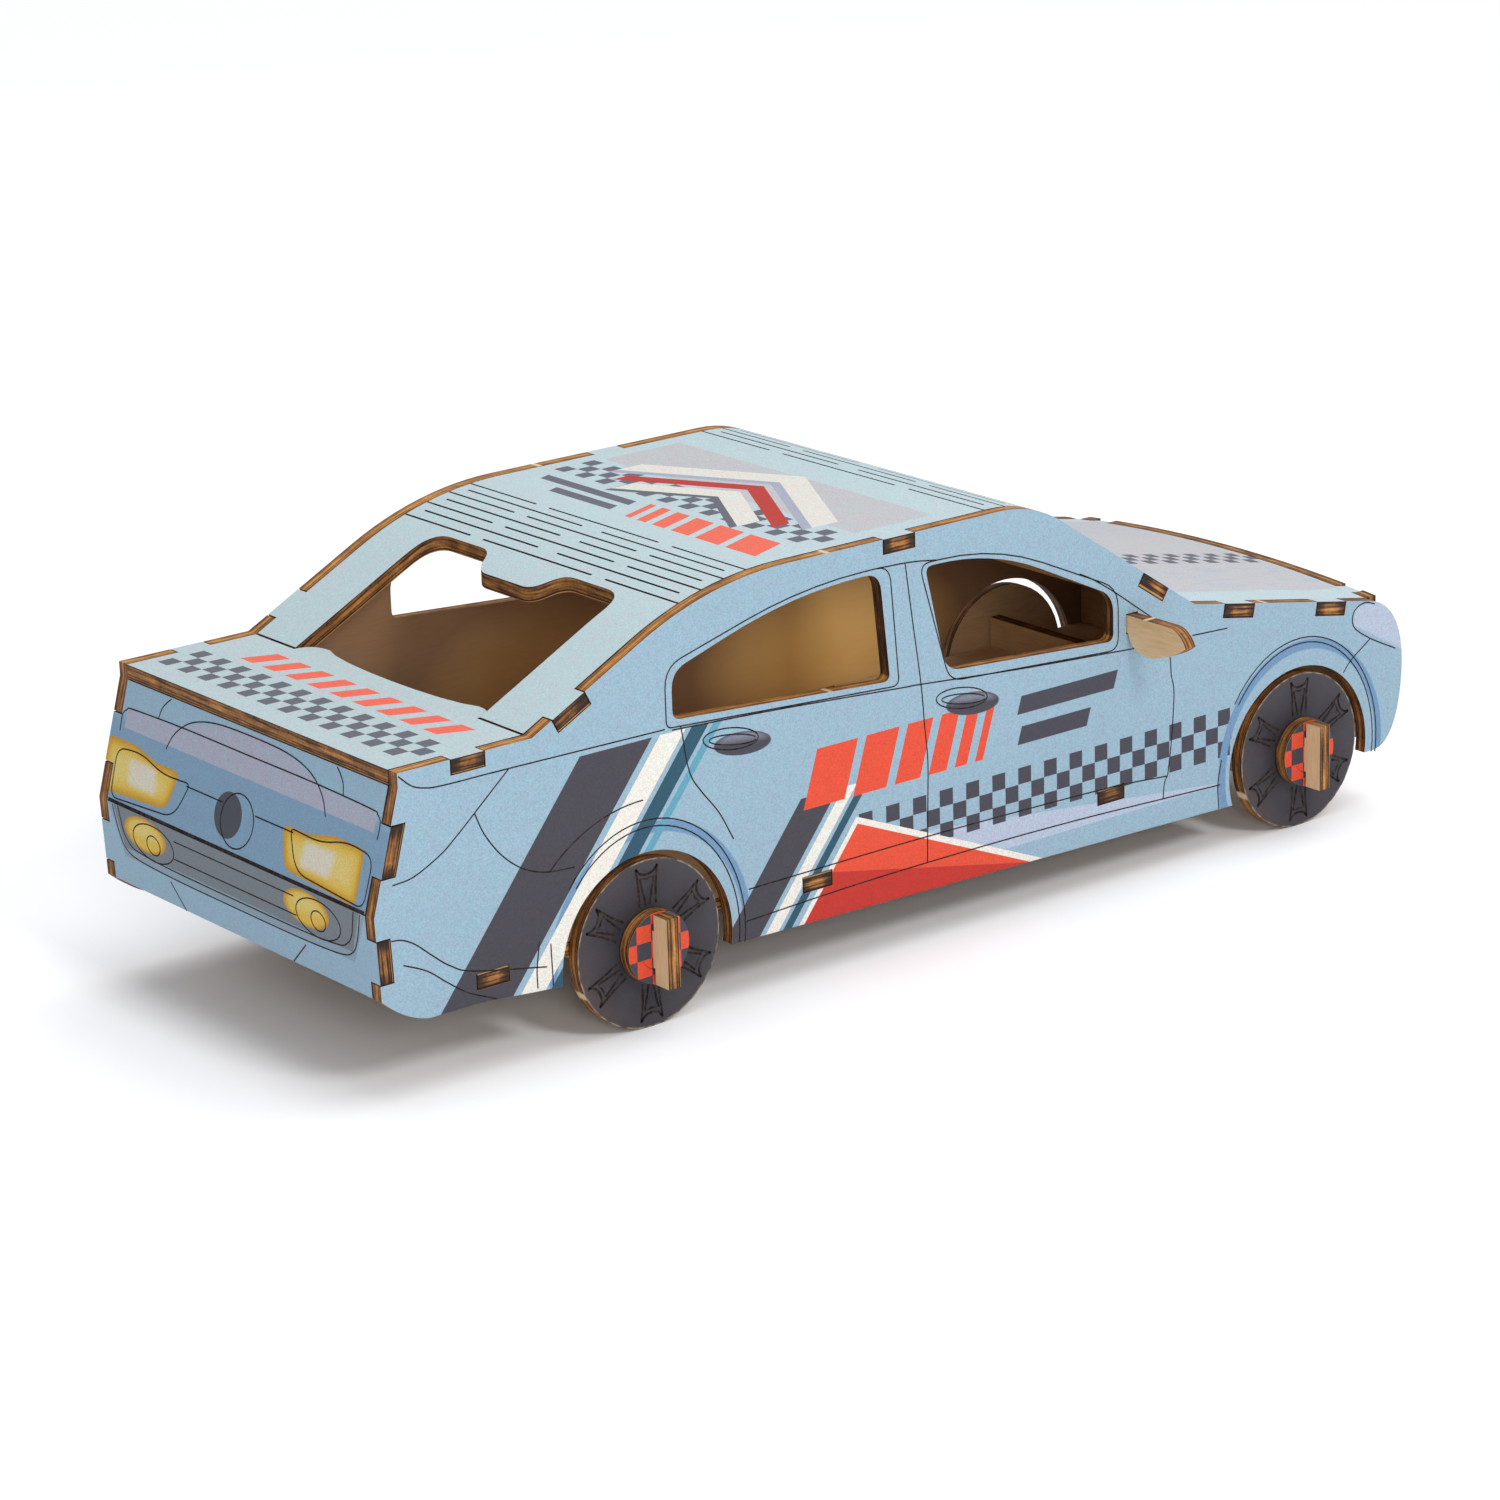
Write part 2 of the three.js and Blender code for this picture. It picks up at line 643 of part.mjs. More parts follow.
// Flat pin with a wide head outside the hub and a stem glued to the front of the beam's foot.
function axlePin() {
  const outline = new THREE.Shape([
    point(legInner + fit, -stemHeight / 2),
    point(headInner, -stemHeight / 2),
    point(headInner, -headHeight / 2),
    point(headInner + headDepth, -headHeight / 2),
    point(headInner + headDepth, headHeight / 2),
    point(headInner, headHeight / 2),
    point(headInner, stemHeight / 2),
    point(legInner + fit, stemHeight / 2),
  ]);
  return alongX(outline, -ply / 2, ply / 2);
}

const stations = [
  ['rear_right', rearAxleX, Math.PI],
  ['rear_left', rearAxleX, 0],
  ['front_right', frontAxleX, Math.PI],
  ['front_left', frontAxleX, 0],
];
stations.forEach(([place, axleX, turn]) => {
  const station = new THREE.Group();
  station.position.set(axleX, 0, axleHeight);
  station.rotation.z = turn;
  car.add(station);
  addPiece(`wheel_${place}`, boredDisc(wheelRadius, wheelInner, wheelOuter, 48), 'tyreGrey', station);
  addPiece(`hub_${place}`, boredDisc(hubRadius, hubInner, hubOuter, 32), 'hubOrange', station);
  addPiece(`axle_pin_${place}`, axlePin(), 'rawPly', station);
});

// Door mirrors: leaves across the car, with a tab through the side sheet

function mirrorLeaf() {
  const foot = mirrorTop - mirrorHeight;
  const root = mirrorTop - mirrorRoot;
  const seat = halfOut + fit;
  const tip = halfOut + mirrorReach;
  const outline = new THREE.Shape();
  outline.moveTo(halfIn, mirrorTop);
  outline.lineTo(halfIn, root);
  outline.lineTo(seat, root);
  outline.quadraticCurveTo(seat + mirrorRound, foot, seat + mirrorBelly, foot);
  outline.quadraticCurveTo(tip - mirrorTipRise, foot + mirrorRound, tip, foot + mirrorTipRise);
  outline.quadraticCurveTo(tip - mirrorRound * 2, mirrorTop, tip - mirrorShoulder, mirrorTop);
  return alongX(outline, mirrorX, mirrorX + ply, 6);
}

addPiece('mirror_left', mirrorLeaf(), 'rawPly');
const rightLeaf = addPiece('mirror_right', mirrorLeaf(), 'rawPly');
rightLeaf.rotation.z = Math.PI;
rightLeaf.position.x = 2 * mirrorX + ply;

export default car;
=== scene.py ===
import json
import math
import bmesh
import bpy
from mathutils import Matrix, Vector


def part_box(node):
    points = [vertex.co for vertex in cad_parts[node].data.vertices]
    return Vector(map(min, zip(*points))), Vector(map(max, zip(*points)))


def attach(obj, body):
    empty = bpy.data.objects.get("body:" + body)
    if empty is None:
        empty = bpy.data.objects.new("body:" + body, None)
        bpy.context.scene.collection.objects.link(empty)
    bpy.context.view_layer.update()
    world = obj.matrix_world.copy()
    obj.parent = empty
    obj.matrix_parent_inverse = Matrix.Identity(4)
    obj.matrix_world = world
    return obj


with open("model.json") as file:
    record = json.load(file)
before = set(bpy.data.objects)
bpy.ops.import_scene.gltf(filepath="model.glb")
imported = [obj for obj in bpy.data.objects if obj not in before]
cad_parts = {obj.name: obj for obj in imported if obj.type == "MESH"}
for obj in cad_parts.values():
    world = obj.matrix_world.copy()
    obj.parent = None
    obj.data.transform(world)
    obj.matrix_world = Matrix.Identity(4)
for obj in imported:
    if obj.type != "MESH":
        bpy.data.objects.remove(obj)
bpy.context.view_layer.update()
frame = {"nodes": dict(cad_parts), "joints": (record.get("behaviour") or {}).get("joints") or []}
nodes = frame["nodes"]
mm = 0.001
print("frame:", len(nodes), "nodes")


# view and light

view = {
    "place": (-594.4, -754.3, 340.4),   # mm
    "azimuth": -37.84, "elevation": 17.90, "roll": -1.77,
    "lens": 110.07, "sensor": 36, "clip": (0.01, 50),
}


def makeCamera():
    a, e, r = (math.radians(view[k]) for k in ("azimuth", "elevation", "roll"))
    back = Vector((math.sin(a) * math.cos(e), -math.cos(a) * math.cos(e), math.sin(e)))
    level = Vector((math.cos(a), math.sin(a), 0))
    upright = back.cross(level)
    right = math.cos(r) * level + math.sin(r) * upright
    up = math.cos(r) * upright - math.sin(r) * level
    data = bpy.data.cameras.new("photoCamera")
    data.lens, data.sensor_width = view["lens"], view["sensor"]
    data.clip_start, data.clip_end = view["clip"]
    camera = bpy.data.objects.new("photoCamera", data)
    bpy.context.scene.collection.objects.link(camera)
    turn = Matrix((right, up, back)).transposed().to_4x4()
    camera.matrix_world = Matrix.Translation(Vector(view["place"]) * mm) @ turn
    bpy.context.scene.camera = camera


studio = {
    "sky": (0.92, 0.95, 1.0), "skyStrength": 0.53,
    "floor": (0.965, 0.962, 0.965), "floorSize": 40, "floorRoughness": 0.9, "floorShine": 0.1,
    # angles in degrees, the heading from +X to +Y
    "sun": {"heading": 8, "height": 66, "softness": 68, "strength": 1.75},
    "fills": [                          # name, place in m, size in m, watts
        ("rearFill", (-0.60, -1.05, 0.40), 0.30, 3.6),
        ("cabinFill", (-0.05, -0.85, 0.72), 0.22, 3.5),
        ("frontFill", (1.05, -0.95, 0.55), 0.80, 1.5),
    ],
}


def hang(name, data, place):
    light = bpy.data.objects.new(name, data)
    light.location = place
    light.rotation_euler = (-Vector(place)).to_track_quat("-Z", "Y").to_euler()
    bpy.context.scene.collection.objects.link(light)


def makeStudio():
    scene = bpy.context.scene
    scene.view_settings.view_transform = "Standard"
    world = bpy.data.worlds.new("studio")
    world.use_nodes = True
    backdrop = world.node_tree.nodes["Background"]
    backdrop.inputs["Color"].default_value = (*studio["sky"], 1)
    backdrop.inputs["Strength"].default_value = studio["skyStrength"]
    scene.world = world
    sun = studio["sun"]
    data = bpy.data.lights.new("overhead", "SUN")
    data.energy, data.angle = sun["strength"], math.radians(sun["softness"])
    turn, rise = math.radians(sun["heading"]), math.radians(sun["height"])
    level = math.cos(rise)
    hang("overhead", data, (math.cos(turn) * level, math.sin(turn) * level, math.sin(rise)))
    for name, place, size, watts in studio["fills"]:
        data = bpy.data.lights.new(name, "AREA")
        data.energy, data.size = watts, size
        hang(name, data, place)
    bpy.ops.mesh.primitive_plane_add(size=studio["floorSize"])
    floor = bpy.context.object
    floor.name = "floor"
    paint = bpy.data.materials.new("floorPaper")
    paint.use_nodes = True
    shader = paint.node_tree.nodes["Principled BSDF"]
    shader.inputs["Base Color"].default_value = (*studio["floor"], 1)
    shader.inputs["Roughness"].default_value = studio["floorRoughness"]
    shader.inputs["Specular IOR Level"].default_value = studio["floorShine"]
    floor.data.materials.append(paint)


makeCamera()
makeStudio()
print("camera and studio set")


# shader sums

crisp = 0.08   # blur of a printed edge, mm


class Ink:
    def __init__(self, tree, socket):
        self.tree = tree
        self.socket = socket

    def make(self, kind, settings=None, sockets=None, out=0):
        node = self.tree.nodes.new("ShaderNode" + kind)
        for name, value in (settings or {}).items():
            if name == "stops":
                fillRamp(node.color_ramp, value)
            else:
                setattr(node, name, value)
        for name, value in (sockets or {}).items():
            if isinstance(value, Ink):
                self.tree.links.new(value.socket, node.inputs[name])
            else:
                node.inputs[name].default_value = value
        return Ink(self.tree, node.outputs[out])

    def sums(self, operation, *values, clamp=False):
        settings = {"operation": operation, "use_clamp": clamp}
        return self.make("Math", settings, dict(enumerate(values)))

    def __add__(self, other):
        return self.sums("ADD", self, other)

    def __sub__(self, other):
        return self.sums("SUBTRACT", self, other)

    def __rsub__(self, other):
        return self.sums("SUBTRACT", other, self)

    def __mul__(self, other):
        return self.sums("MULTIPLY", self, other)

    def __truediv__(self, other):
        return self.sums("DIVIDE", self, other)

    def __pow__(self, power):
        return self.sums("POWER", self, power)

    def __abs__(self):
        return self.sums("ABSOLUTE", self)

    def above(self, edge, soft=crisp):
        return self.sums("MULTIPLY_ADD", self, 1 / soft, 0.5 - edge / soft, clamp=True)

    def below(self, edge, soft=crisp):
        return self.sums("MULTIPLY_ADD", self, -1 / soft, 0.5 + edge / soft, clamp=True)

    def within(self, low, high, soft=crisp):
        return self.above(low, soft) * self.below(high, soft)

    def either(self, other):
        return self.sums("MAXIMUM", self, other)

    def both(self, other):
        return self.sums("MINIMUM", self, other)

    def blend(self, other, reach):
        # the lesser of two, with the crease between them rounded
        return self.sums("SMOOTH_MIN", self, other, reach)

    def floor(self):
        return self.sums("FLOOR", self)

    def rest(self):
        return self.sums("FRACT", self)


def fillRamp(ramp, stops):
    while len(ramp.elements) < len(stops):
        ramp.elements.new(1)
    for element, (place, colour) in zip(ramp.elements, stops):
        element.position, element.color = place, colour


def tone(code):
    parts = [int(code[i:i + 2], 16) / 255 for i in (1, 3, 5)]
    return (*[p / 12.92 if p <= 0.04045 else ((p + 0.055) / 1.055) ** 2.4 for p in parts], 1)


def lay(under, mask, over):
    over = tone(over) if isinstance(over, str) else over
    under = tone(under) if isinstance(under, str) else under
    return mask.make("Mix", {"data_type": "RGBA"}, {0: mask, 6: under, 7: over}, out=2)


def shade(colour, factor):
    return times(colour, factor.make("CombineColor", None, {0: factor, 1: factor, 2: factor}))


def times(colour, tint):
    settings = {"data_type": "RGBA", "blend_type": "MULTIPLY"}
    return tint.make("Mix", settings, {0: 1.0, 6: colour, 7: tint}, out=2)


def noise(place, scale, stretch=(1, 1, 1), detail=2.0, roughness=0.5):
    spread = place.make("VectorMath", {"operation": "MULTIPLY"}, {0: place, 1: stretch})
    return place.make("TexNoise", None, {
        "Vector": spread, "Scale": scale, "Detail": detail, "Roughness": roughness})


# finishes

inks = {
    "sky": "#89a2b0", "paleBlue": "#b3c4c6", "deckBlue": "#aebdbe",
    "tailBlue": "#7593aa", "tailSky": "#8ca8b9", "lidLavender": "#9ea1b0",
    "lavender": "#a4adbd", "hoodGrey": "#b6b5b6", "flare": "#6485a3",
    "check": "#3c3a43", "deckCheck": "#5c5d66", "slate": "#3c3940",
    "orange": "#d0452a", "coral": "#e2624a", "red": "#b1281d",
    "cream": "#d6d1c6", "teal": "#21495a", "lake": "#5690a2",
    "lampPale": "#d3bf74", "lampYellow": "#cfab3c", "lampAmber": "#b9871b", "lampGlass": "#cdc6b2",
    "bumperGrey": "#6d747a", "bumperLip": "#8194a1", "badge": "#3f424b",
    # the last ink is painted shade with soot, for the wheels
    "tyre": "#3b373c", "sootAndShade": "#242126",
}
# two of the wood tones are a painted pool of light and painted shade for the inner faces of the side sheets
wood = {
    "pale": "#dabf98", "mid": "#cfae84", "dark": "#bd9867",
    "interiorLight": "#f7c674", "interiorShade": "#825f46", "under": "#5d4c3b",
    "charAndShade": "#24140a", "burnt": "#4a2c14", "brown": "#86572a", "amber": "#b27c3d", "honey": "#cd9a56",
}
sheetThick = 3.0   # mm
facing = {"face": 0.7, "faceBlur": 0.02, "up": 0.3, "upBlur": 0.2}
woodGrain = {"fibre": 2.6, "fibreAlong": 0.09, "band": 0.10, "bandAlong": 0.2}
burn = {
    # pattern sizes, spans as shares of the thickness, and the weight of each pattern
    "along": 0.14, "across": 1.1, "speckSize": 1.6, "blotchSize": 0.22,
    "glueLines": ((0.25, 0.33), (0.67, 0.75)), "core": (0.36, 0.64),
    "outerRim": 0.07, "innerRim": (0.86, 0.95), "arris": 0.965,
    "streak": 0.95, "speck": 0.30, "blotch": 0.45, "base": 0.36, "coreGain": 0.10,
    # one weight below darkens edges by soot and painted shade, and negative amounts give a painted highlight
    "glue": 0.22, "rim": 0.34, "sootAndShade": 0.5, "arrisGain": 0.55, "nick": 0.85,
    "stops": ((0.10, "charAndShade"), (0.32, "burnt"), (0.55, "brown"), (0.78, "amber"), (0.98, "honey")),
}
surface = {
    "speckle": 3.4, "mottle": 0.35, "warm": "#fff6fb", "cool": "#f4ffff", "gain": 0.9, "lift": 0.55,
    "back": 0.8, "shine": 0.3, "rough": 0.52, "roughSpeckle": 0.14, "roughEdge": 0.12,
    "relief": 0.3, "reliefDepth": 0.06,
}


class Sheet:
    # one material for a sheet: printed face, bare back and burnt edges
    def __init__(self, name, face, depth):
        self.material = bpy.data.materials.new(name)
        self.material.use_nodes = True
        tree = self.material.node_tree
        self.shader = tree.nodes["Principled BSDF"]
        start = Ink(tree, None)
        place = start.make("TexCoord", out="Object")
        self.place = place.make("VectorMath", {"operation": "SCALE"}, {0: place, "Scale": 1 / mm})
        self.x, self.y, self.z = (
            place.make("SeparateXYZ", None, {0: self.place}, out=i) for i in range(3))
        normal = place.make("NewGeometry", out="True Normal")
        dot = {"operation": "DOT_PRODUCT"}
        toward = place.make("VectorMath", dot, {0: normal, 1: face}, out="Value")
        self.front = toward.above(facing["face"], facing["faceBlur"])
        self.rear = toward.below(-facing["face"], facing["faceBlur"])
        upright = place.make("VectorMath", dot, {0: normal, 1: (0, 0, 1)}, out="Value")
        self.upward = upright.above(facing["up"], facing["upBlur"])
        self.depth = depth(self)

    def grain(self, along):
        # fine fibres and faint growth bands, long in the direction of the grain
        fibreStretch = tuple(woodGrain["fibreAlong"] if i == along else 1.0 for i in range(3))
        bandStretch = tuple(woodGrain["bandAlong"] if i == along else 1.0 for i in range(3))
        fibre = noise(self.place, woodGrain["fibre"], fibreStretch, 3.0, 0.6)
        band = noise(self.place, woodGrain["band"], bandStretch)
        return fibre * 0.5 + band * 0.5

    def bare(self, along):
        level = self.grain(along)
        stops = [(0.30, tone(wood["dark"])), (0.5, tone(wood["mid"])), (0.70, tone(wood["pale"]))]
        return level.make("ValToRGB", {"stops": stops}, {0: level})

    def burntEdge(self, nick=None, sootAndShade=None):
        # plies run along the edge: dark rims and glue lines, amber between them
        spread = {0: self.place, 1: (burn["along"],) * 3, 2: self.depth * burn["across"]}
        along = self.place.make("VectorMath", {"operation": "MULTIPLY_ADD"}, spread)
        streak = noise(along, 1.0, roughness=0.55)
        speck = noise(self.place, burn["speckSize"])
        blotch = noise(self.place, burn["blotchSize"], detail=1.0)
        share = self.depth / sheetThick
        low, high = (share.within(*span, 0.08) for span in burn["glueLines"])
        glue = low.either(high)
        rim = share.below(burn["outerRim"], 0.1).either(share.within(*burn["innerRim"], 0.06))
        core = share.within(*burn["core"], 0.1)
        level = streak * burn["streak"] + speck * burn["speck"] + blotch * burn["blotch"] - burn["base"]
        level = level + core * burn["coreGain"] - glue * burn["glue"] - rim * burn["rim"]
        # darker where soot and painted shade are given, lighter where a painted highlight is given
        if sootAndShade:
            level = level - sootAndShade * burn["sootAndShade"]
        stops = [(at, tone(wood[name])) for at, name in burn["stops"]]
        colour = level.make("ValToRGB", {"stops": stops}, {0: level})
        colour = lay(colour, share.above(burn["arris"], 0.03) * burn["arrisGain"], wood["honey"])
        if nick:
            colour = lay(colour, nick * burn["nick"], wood["pale"])
        return colour

    def finish(self, printed, along, nick=None, sootAndShade=None, back=None):
        bare = self.bare(along)
        if back:
            bare = lay(bare, self.rear * surface["back"], back)
        speckle = noise(self.place, surface["speckle"], roughness=0.75)
        mottle = noise(self.place, surface["mottle"], detail=3.0, roughness=0.6)
        body = bare
        if printed:
            # ink lies unevenly: paler specks, and drifts of warmer and cooler tone
            tint = lay(surface["cool"], mottle.above(0.5, 0.4), surface["warm"])
            inked = shade(times(printed, tint), speckle * surface["gain"] + surface["lift"])
            body = lay(bare, self.front, inked)
        edge = 1 - self.front.either(self.rear)
        colour = lay(body, edge, self.burntEdge(nick, sootAndShade))
        self.shader.inputs["Specular IOR Level"].default_value = surface["shine"]
        links = self.material.node_tree.links
        links.new(colour.socket, self.shader.inputs["Base Color"])
        rough = speckle * surface["roughSpeckle"] + edge * surface["roughEdge"] + surface["rough"]
        links.new(rough.socket, self.shader.inputs["Roughness"])
        relief = speckle * 0.5 + self.grain(along) * 0.5
        dent = {"Strength": surface["relief"], "Distance": surface["reliefDepth"] * mm, "Height": relief}
        bump = relief.make("Bump", None, dent)
        links.new(bump.socket, self.shader.inputs["Normal"])
        return self.material


def checks(a, b, size):
    cells = (a / size).floor() + (b / size).floor()
    return cells.sums("FLOORED_MODULO", cells, 2)


def bar(a, b, low, high, foot, top, slant=0.0):
    # a slanted block: low to high along a, foot to top along b
    return (a - b * slant + foot * slant).within(low, high) * b.within(foot, top)


def ellipse(u, v, centre, reach, soft=0.05):
    away = ((u - centre[0]) / reach[0]) ** 2 + ((v - centre[1]) / reach[1]) ** 2
    return away.below(1, soft)


# tab ends are darkened by char and by painted shade in the notch corners
tabEnd = {"inset": 1.4, "blur": 2.4, "start": 0.3, "startBlur": 0.2, "charAndShade": 0.9, "clear": 0.8}


def tabEnds(s, run, spans):
    # ends of the tabs in the side sheets, darker towards their corners: char, with painted shade in the notch
    # corners
    clear = None
    for low, high in spans:
        middle = run.within(low + tabEnd["inset"], high - tabEnd["inset"], tabEnd["blur"])
        clear = clear.either(middle) if clear else middle
    outside = abs(s.y).above(sheetIn + tabEnd["start"], tabEnd["startBlur"])
    return outside * (tabEnd["charAndShade"] - clear * tabEnd["clear"])


def dress(names, material):
    for name in names:
        node = nodes[name]
        node.data.materials.clear()
        node.data.materials.append(material)


# side sheets

side = {
    "names": {"right": "side_right", "left": "side_left"},
    "checkSize": 3.7, "checkFoot": 21.5, "checkRear": -24.0, "checkFront": 87.5, "checkRows": 3,
    "wedgeFoot": 15.2, "wedgeTop": 24.4, "wedgeLean": 0.105, "wedgeRear": -12,
    "archCentre": 16.0, "arches": (-76.1, 108.4),
    "archReach": (25.0, 28.2),          # half width and height of the outer arch line
    "flareShift": 0.8, "flareReach": (26.2, 28.0), "flareRing": (0.90, 0.985), "flareBlur": 0.012,
    "flareFoot": 9,
    "ribbonLean": 0.8, "ribbonFoot": 14.0,
    "ribbons": (                        # top of a group, then start, end and ink of each ribbon
        (61.2, ((-129, -111, "slate"), (-109, -102.5, "cream"), (-101, -96.5, "teal"), (-95.2, -93, "lake"))),
        (39.5, ((-56, -46, "slate"), (-44.5, -41, "cream"), (-39.8, -37.4, "teal"))),
    ),
    "pennantFoot": 12.0, "pennantLow": -9, "pennantCut": 2.4,
    "pennants": ((-35.5, 27.5, "cream"), (-34, 24, "orange")),
    "pennantShade": (-34, 20), "shadeCut": 5.0,
    "barWidths": (11.0, 9.0, 7.0, 5.0, 3.4, 2.2), "barGap": 2.3, "barStart": -35.0, "barLean": 0.32,
    "barSpan": (36.8, 49.3), "rowStart": 24.0, "rowTall": 4, "rows": ((44.6, 52.0), (37.8, 44.0)),
    "grips": ((-50.4, 54.9), (11.5, 50.0)), "gripReach": (7.4, 2.5), "gripLean": -0.10,
    "glassRear": 125.6, "glassTop": 48.2, "glassCorner": (126.4, 43.0), "glassFall": 0.57,
    "glassSquare": 0.87,
    # painted pools of light on the inner faces of the side sheets
    "clear": (((54, 32), (30, 15), 1.0), ((-34, 40), (22, 16), 0.4)),   # centre, reach, share
    "nicks": ((-27.4, -26.2), (97.5, 98.6)), "nickBlur": 0.3,
    # window jambs get painted shade, and edges that look up above a height get a painted highlight
    "jambRun": (-72, 56), "jambRise": (52, 86), "jambBlur": 2, "jambShade": 0.45,
    "highlightFrom": 56, "highlightBlur": 10, "highlightGain": 0.34,
}
sideOut = -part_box("side_right")[0].y / mm
sheetIn = sideOut - sheetThick


def sidePaint(s):
    x, z = s.x, s.z
    # wedge of lavender over the sill
    wedge = z.above(side["wedgeFoot"]) * (z + x * side["wedgeLean"]).below(side["wedgeTop"])
    colour = lay(inks["sky"], wedge * x.above(side["wedgeRear"]), inks["lavender"])
    # chequered band, ending at the front arch
    grid = checks(x - side["checkRear"], z - side["checkFoot"], side["checkSize"])
    top = side["checkFoot"] + side["checkRows"] * side["checkSize"]
    band = bar(x, z, side["checkRear"], side["checkFront"], side["checkFoot"], top)
    colour = lay(colour, grid * band, inks["check"])
    # darker flare round each arch
    for centre in side["arches"]:
        u = (x - centre - side["flareShift"]) / side["flareReach"][0]
        v = (z - side["archCentre"]) / side["flareReach"][1]
        ring = ((u * u + v * v) ** 0.5).within(*side["flareRing"], side["flareBlur"])
        colour = lay(colour, ring * z.above(side["flareFoot"]), inks["flare"])
    # ribbons over the rear wheel and in front of it
    slide = x - (z - side["ribbonFoot"]) * side["ribbonLean"]
    for top, ribbons in side["ribbons"]:
        for low, high, ink in ribbons:
            colour = lay(colour, slide.within(low, high) * z.below(top), inks[ink])
    # pennant along the sill, with a light hem and a shaded foot
    rise = z - side["pennantFoot"]
    for start, end, ink in side["pennants"]:
        cloth = slide.above(start) * (rise * side["pennantCut"] + x).below(end)
        colour = lay(colour, cloth * rise.above(side["pennantLow"]), inks[ink])
    start, end = side["pennantShade"]
    colour = lay(colour, slide.above(start) * (rise * side["shadeCut"] + x).below(end), inks["red"])
    # slanted blocks and rows on the doors
    start = side["barStart"]
    for width in side["barWidths"]:
        block = bar(x, z, start, start + width, *side["barSpan"], side["barLean"])
        colour = lay(colour, block, inks["orange"])
        start += width + side["barGap"]
    for foot, end in side["rows"]:
        row = bar(x, z, side["rowStart"], end, foot, foot + side["rowTall"], side["barLean"])
        colour = lay(colour, row, inks["check"])
    # dark grips under the handle lines
    for u, v in side["grips"]:
        across, up = x - u, z - v - (x - u) * side["gripLean"]
        away = (across / side["gripReach"][0]) ** 2 + (up / side["gripReach"][1]) ** 2
        colour = lay(colour, away.below(1, 0.1), inks["check"])
        colour = lay(colour, away.below(0.8, 0.5) * up.above(0.6, 1.5) * 0.35, inks["lavender"])
    # pale glass of the front lamp
    u, v = side["glassCorner"]
    lower = (z - v + (x - u) * side["glassFall"]) * side["glassSquare"]
    glass = (x - side["glassRear"]).both(side["glassTop"] - z).both(lower)
    return lay(colour, glass.above(0.4, 0.4), inks["lavender"])


def insideLightAndShade(s):
    # painted shade over the inner face, with painted pools of light in two places where light falls in
    # through the windows
    colour = tone(wood["interiorShade"])
    for centre, reach, share in side["clear"]:
        colour = lay(colour, ellipse(s.x, s.z, centre, reach, 1.8) * share, wood["interiorLight"])
    return colour


def sideMaterials():
    for hand, sign in (("right", -1), ("left", 1)):
        sheet = Sheet(f"side_print_{hand}", (0, sign, 0), lambda s: s.y * sign - sheetIn)
        x, z = sheet.x, sheet.z
        low, high = (x.within(*span, side["nickBlur"]) for span in side["nicks"])
        # window jambs get painted shade, and edges that look up get a painted highlight
        jamb = z.within(*side["jambRise"], side["jambBlur"]) * x.within(*side["jambRun"], side["jambBlur"])
        jamb = jamb * (1 - sheet.upward)
        upHighlight = sheet.upward * z.above(side["highlightFrom"], side["highlightBlur"])
        sootAndShade = jamb * side["jambShade"] - upHighlight * side["highlightGain"]
        material = sheet.finish(sidePaint(sheet), 0, low.either(high), sootAndShade, insideLightAndShade(sheet))
        dress([side["names"][hand]], material)


# roof, boot deck and hood

roof = {
    "foldX": -102.6, "fold": 67.5, "pillar": 27, "pillarBend": 12,
    "top": 90.4, "cowlX": 76.2, "cowl": 58.7, "screen": 34, "screenBend": 6, "depthScale": 0.92,
    "tabs": ((-97.4, -89.6), (-12.0, -3.8), (61.3, 68.1)), "slitsFrom": -63, "slitsHalf": 46,
    "field": (-13.0, 8.0), "fieldHalf": 43.5, "band": (-26.2, -15.1), "bandHalf": 44.4, "check": 3.7,
    "barWidths": (10.0, 8.0, 6.0, 4.4, 3.0, 2.0), "barGap": 2.2, "barStart": -43.0, "barSpan": (-39.0, -29.0),
    "barLean": 0.4, "rowStart": 8.0, "rowTall": 3, "rows": ((-33.0, 40.0), (-38.0, 30.0)),
    "chevronLean": 0.55,
    "chevrons": (                       # rear, front, half width and ink
        (2.0, 9.0, 34, "cream"), (-0.5, 2.0, 34, "lidLavender"), (-7.0, -2.5, 28, "red"),
        (-15.0, -9.0, 22, "cream"), (-17.0, -15.0, 22, "deckCheck"),
    ),
}


def roofDepth(s):
    rear = (s.x - roof["foldX"]) * math.tan(math.radians(roof["pillar"])) + roof["fold"]
    nose = (s.x - roof["cowlX"]) * -math.tan(math.radians(roof["screen"])) + roof["cowl"]
    outer = rear.blend(roof["top"], roof["pillarBend"]).blend(nose, roof["screenBend"])
    return (outer - s.z) * roof["depthScale"]


def roofPaint(s):
    x, y = s.x, s.y
    colour = lay(inks["paleBlue"], bar(x, abs(y), *roof["field"], -1, roof["fieldHalf"]), inks["hoodGrey"])
    band = bar(x, abs(y), *roof["band"], -1, roof["bandHalf"])
    grid = checks(x - roof["band"][0], y + roof["bandHalf"], roof["check"])
    colour = lay(colour, grid * band, inks["deckCheck"])
    start = roof["barStart"]
    for width in roof["barWidths"]:
        block = bar(y, x, start, start + width, *roof["barSpan"], roof["barLean"])
        colour = lay(colour, block, inks["coral"])
        start += width + roof["barGap"]
    for foot, end in roof["rows"]:
        row = bar(y, x, roof["rowStart"], end, foot, foot + roof["rowTall"], roof["barLean"])
        colour = lay(colour, row, inks["deckCheck"])
    # nested chevrons that point forward
    point = x + abs(y) * roof["chevronLean"]
    for low, high, wide, ink in roof["chevrons"]:
        colour = lay(colour, point.within(low, high) * abs(y).below(wide), inks[ink])
    return colour


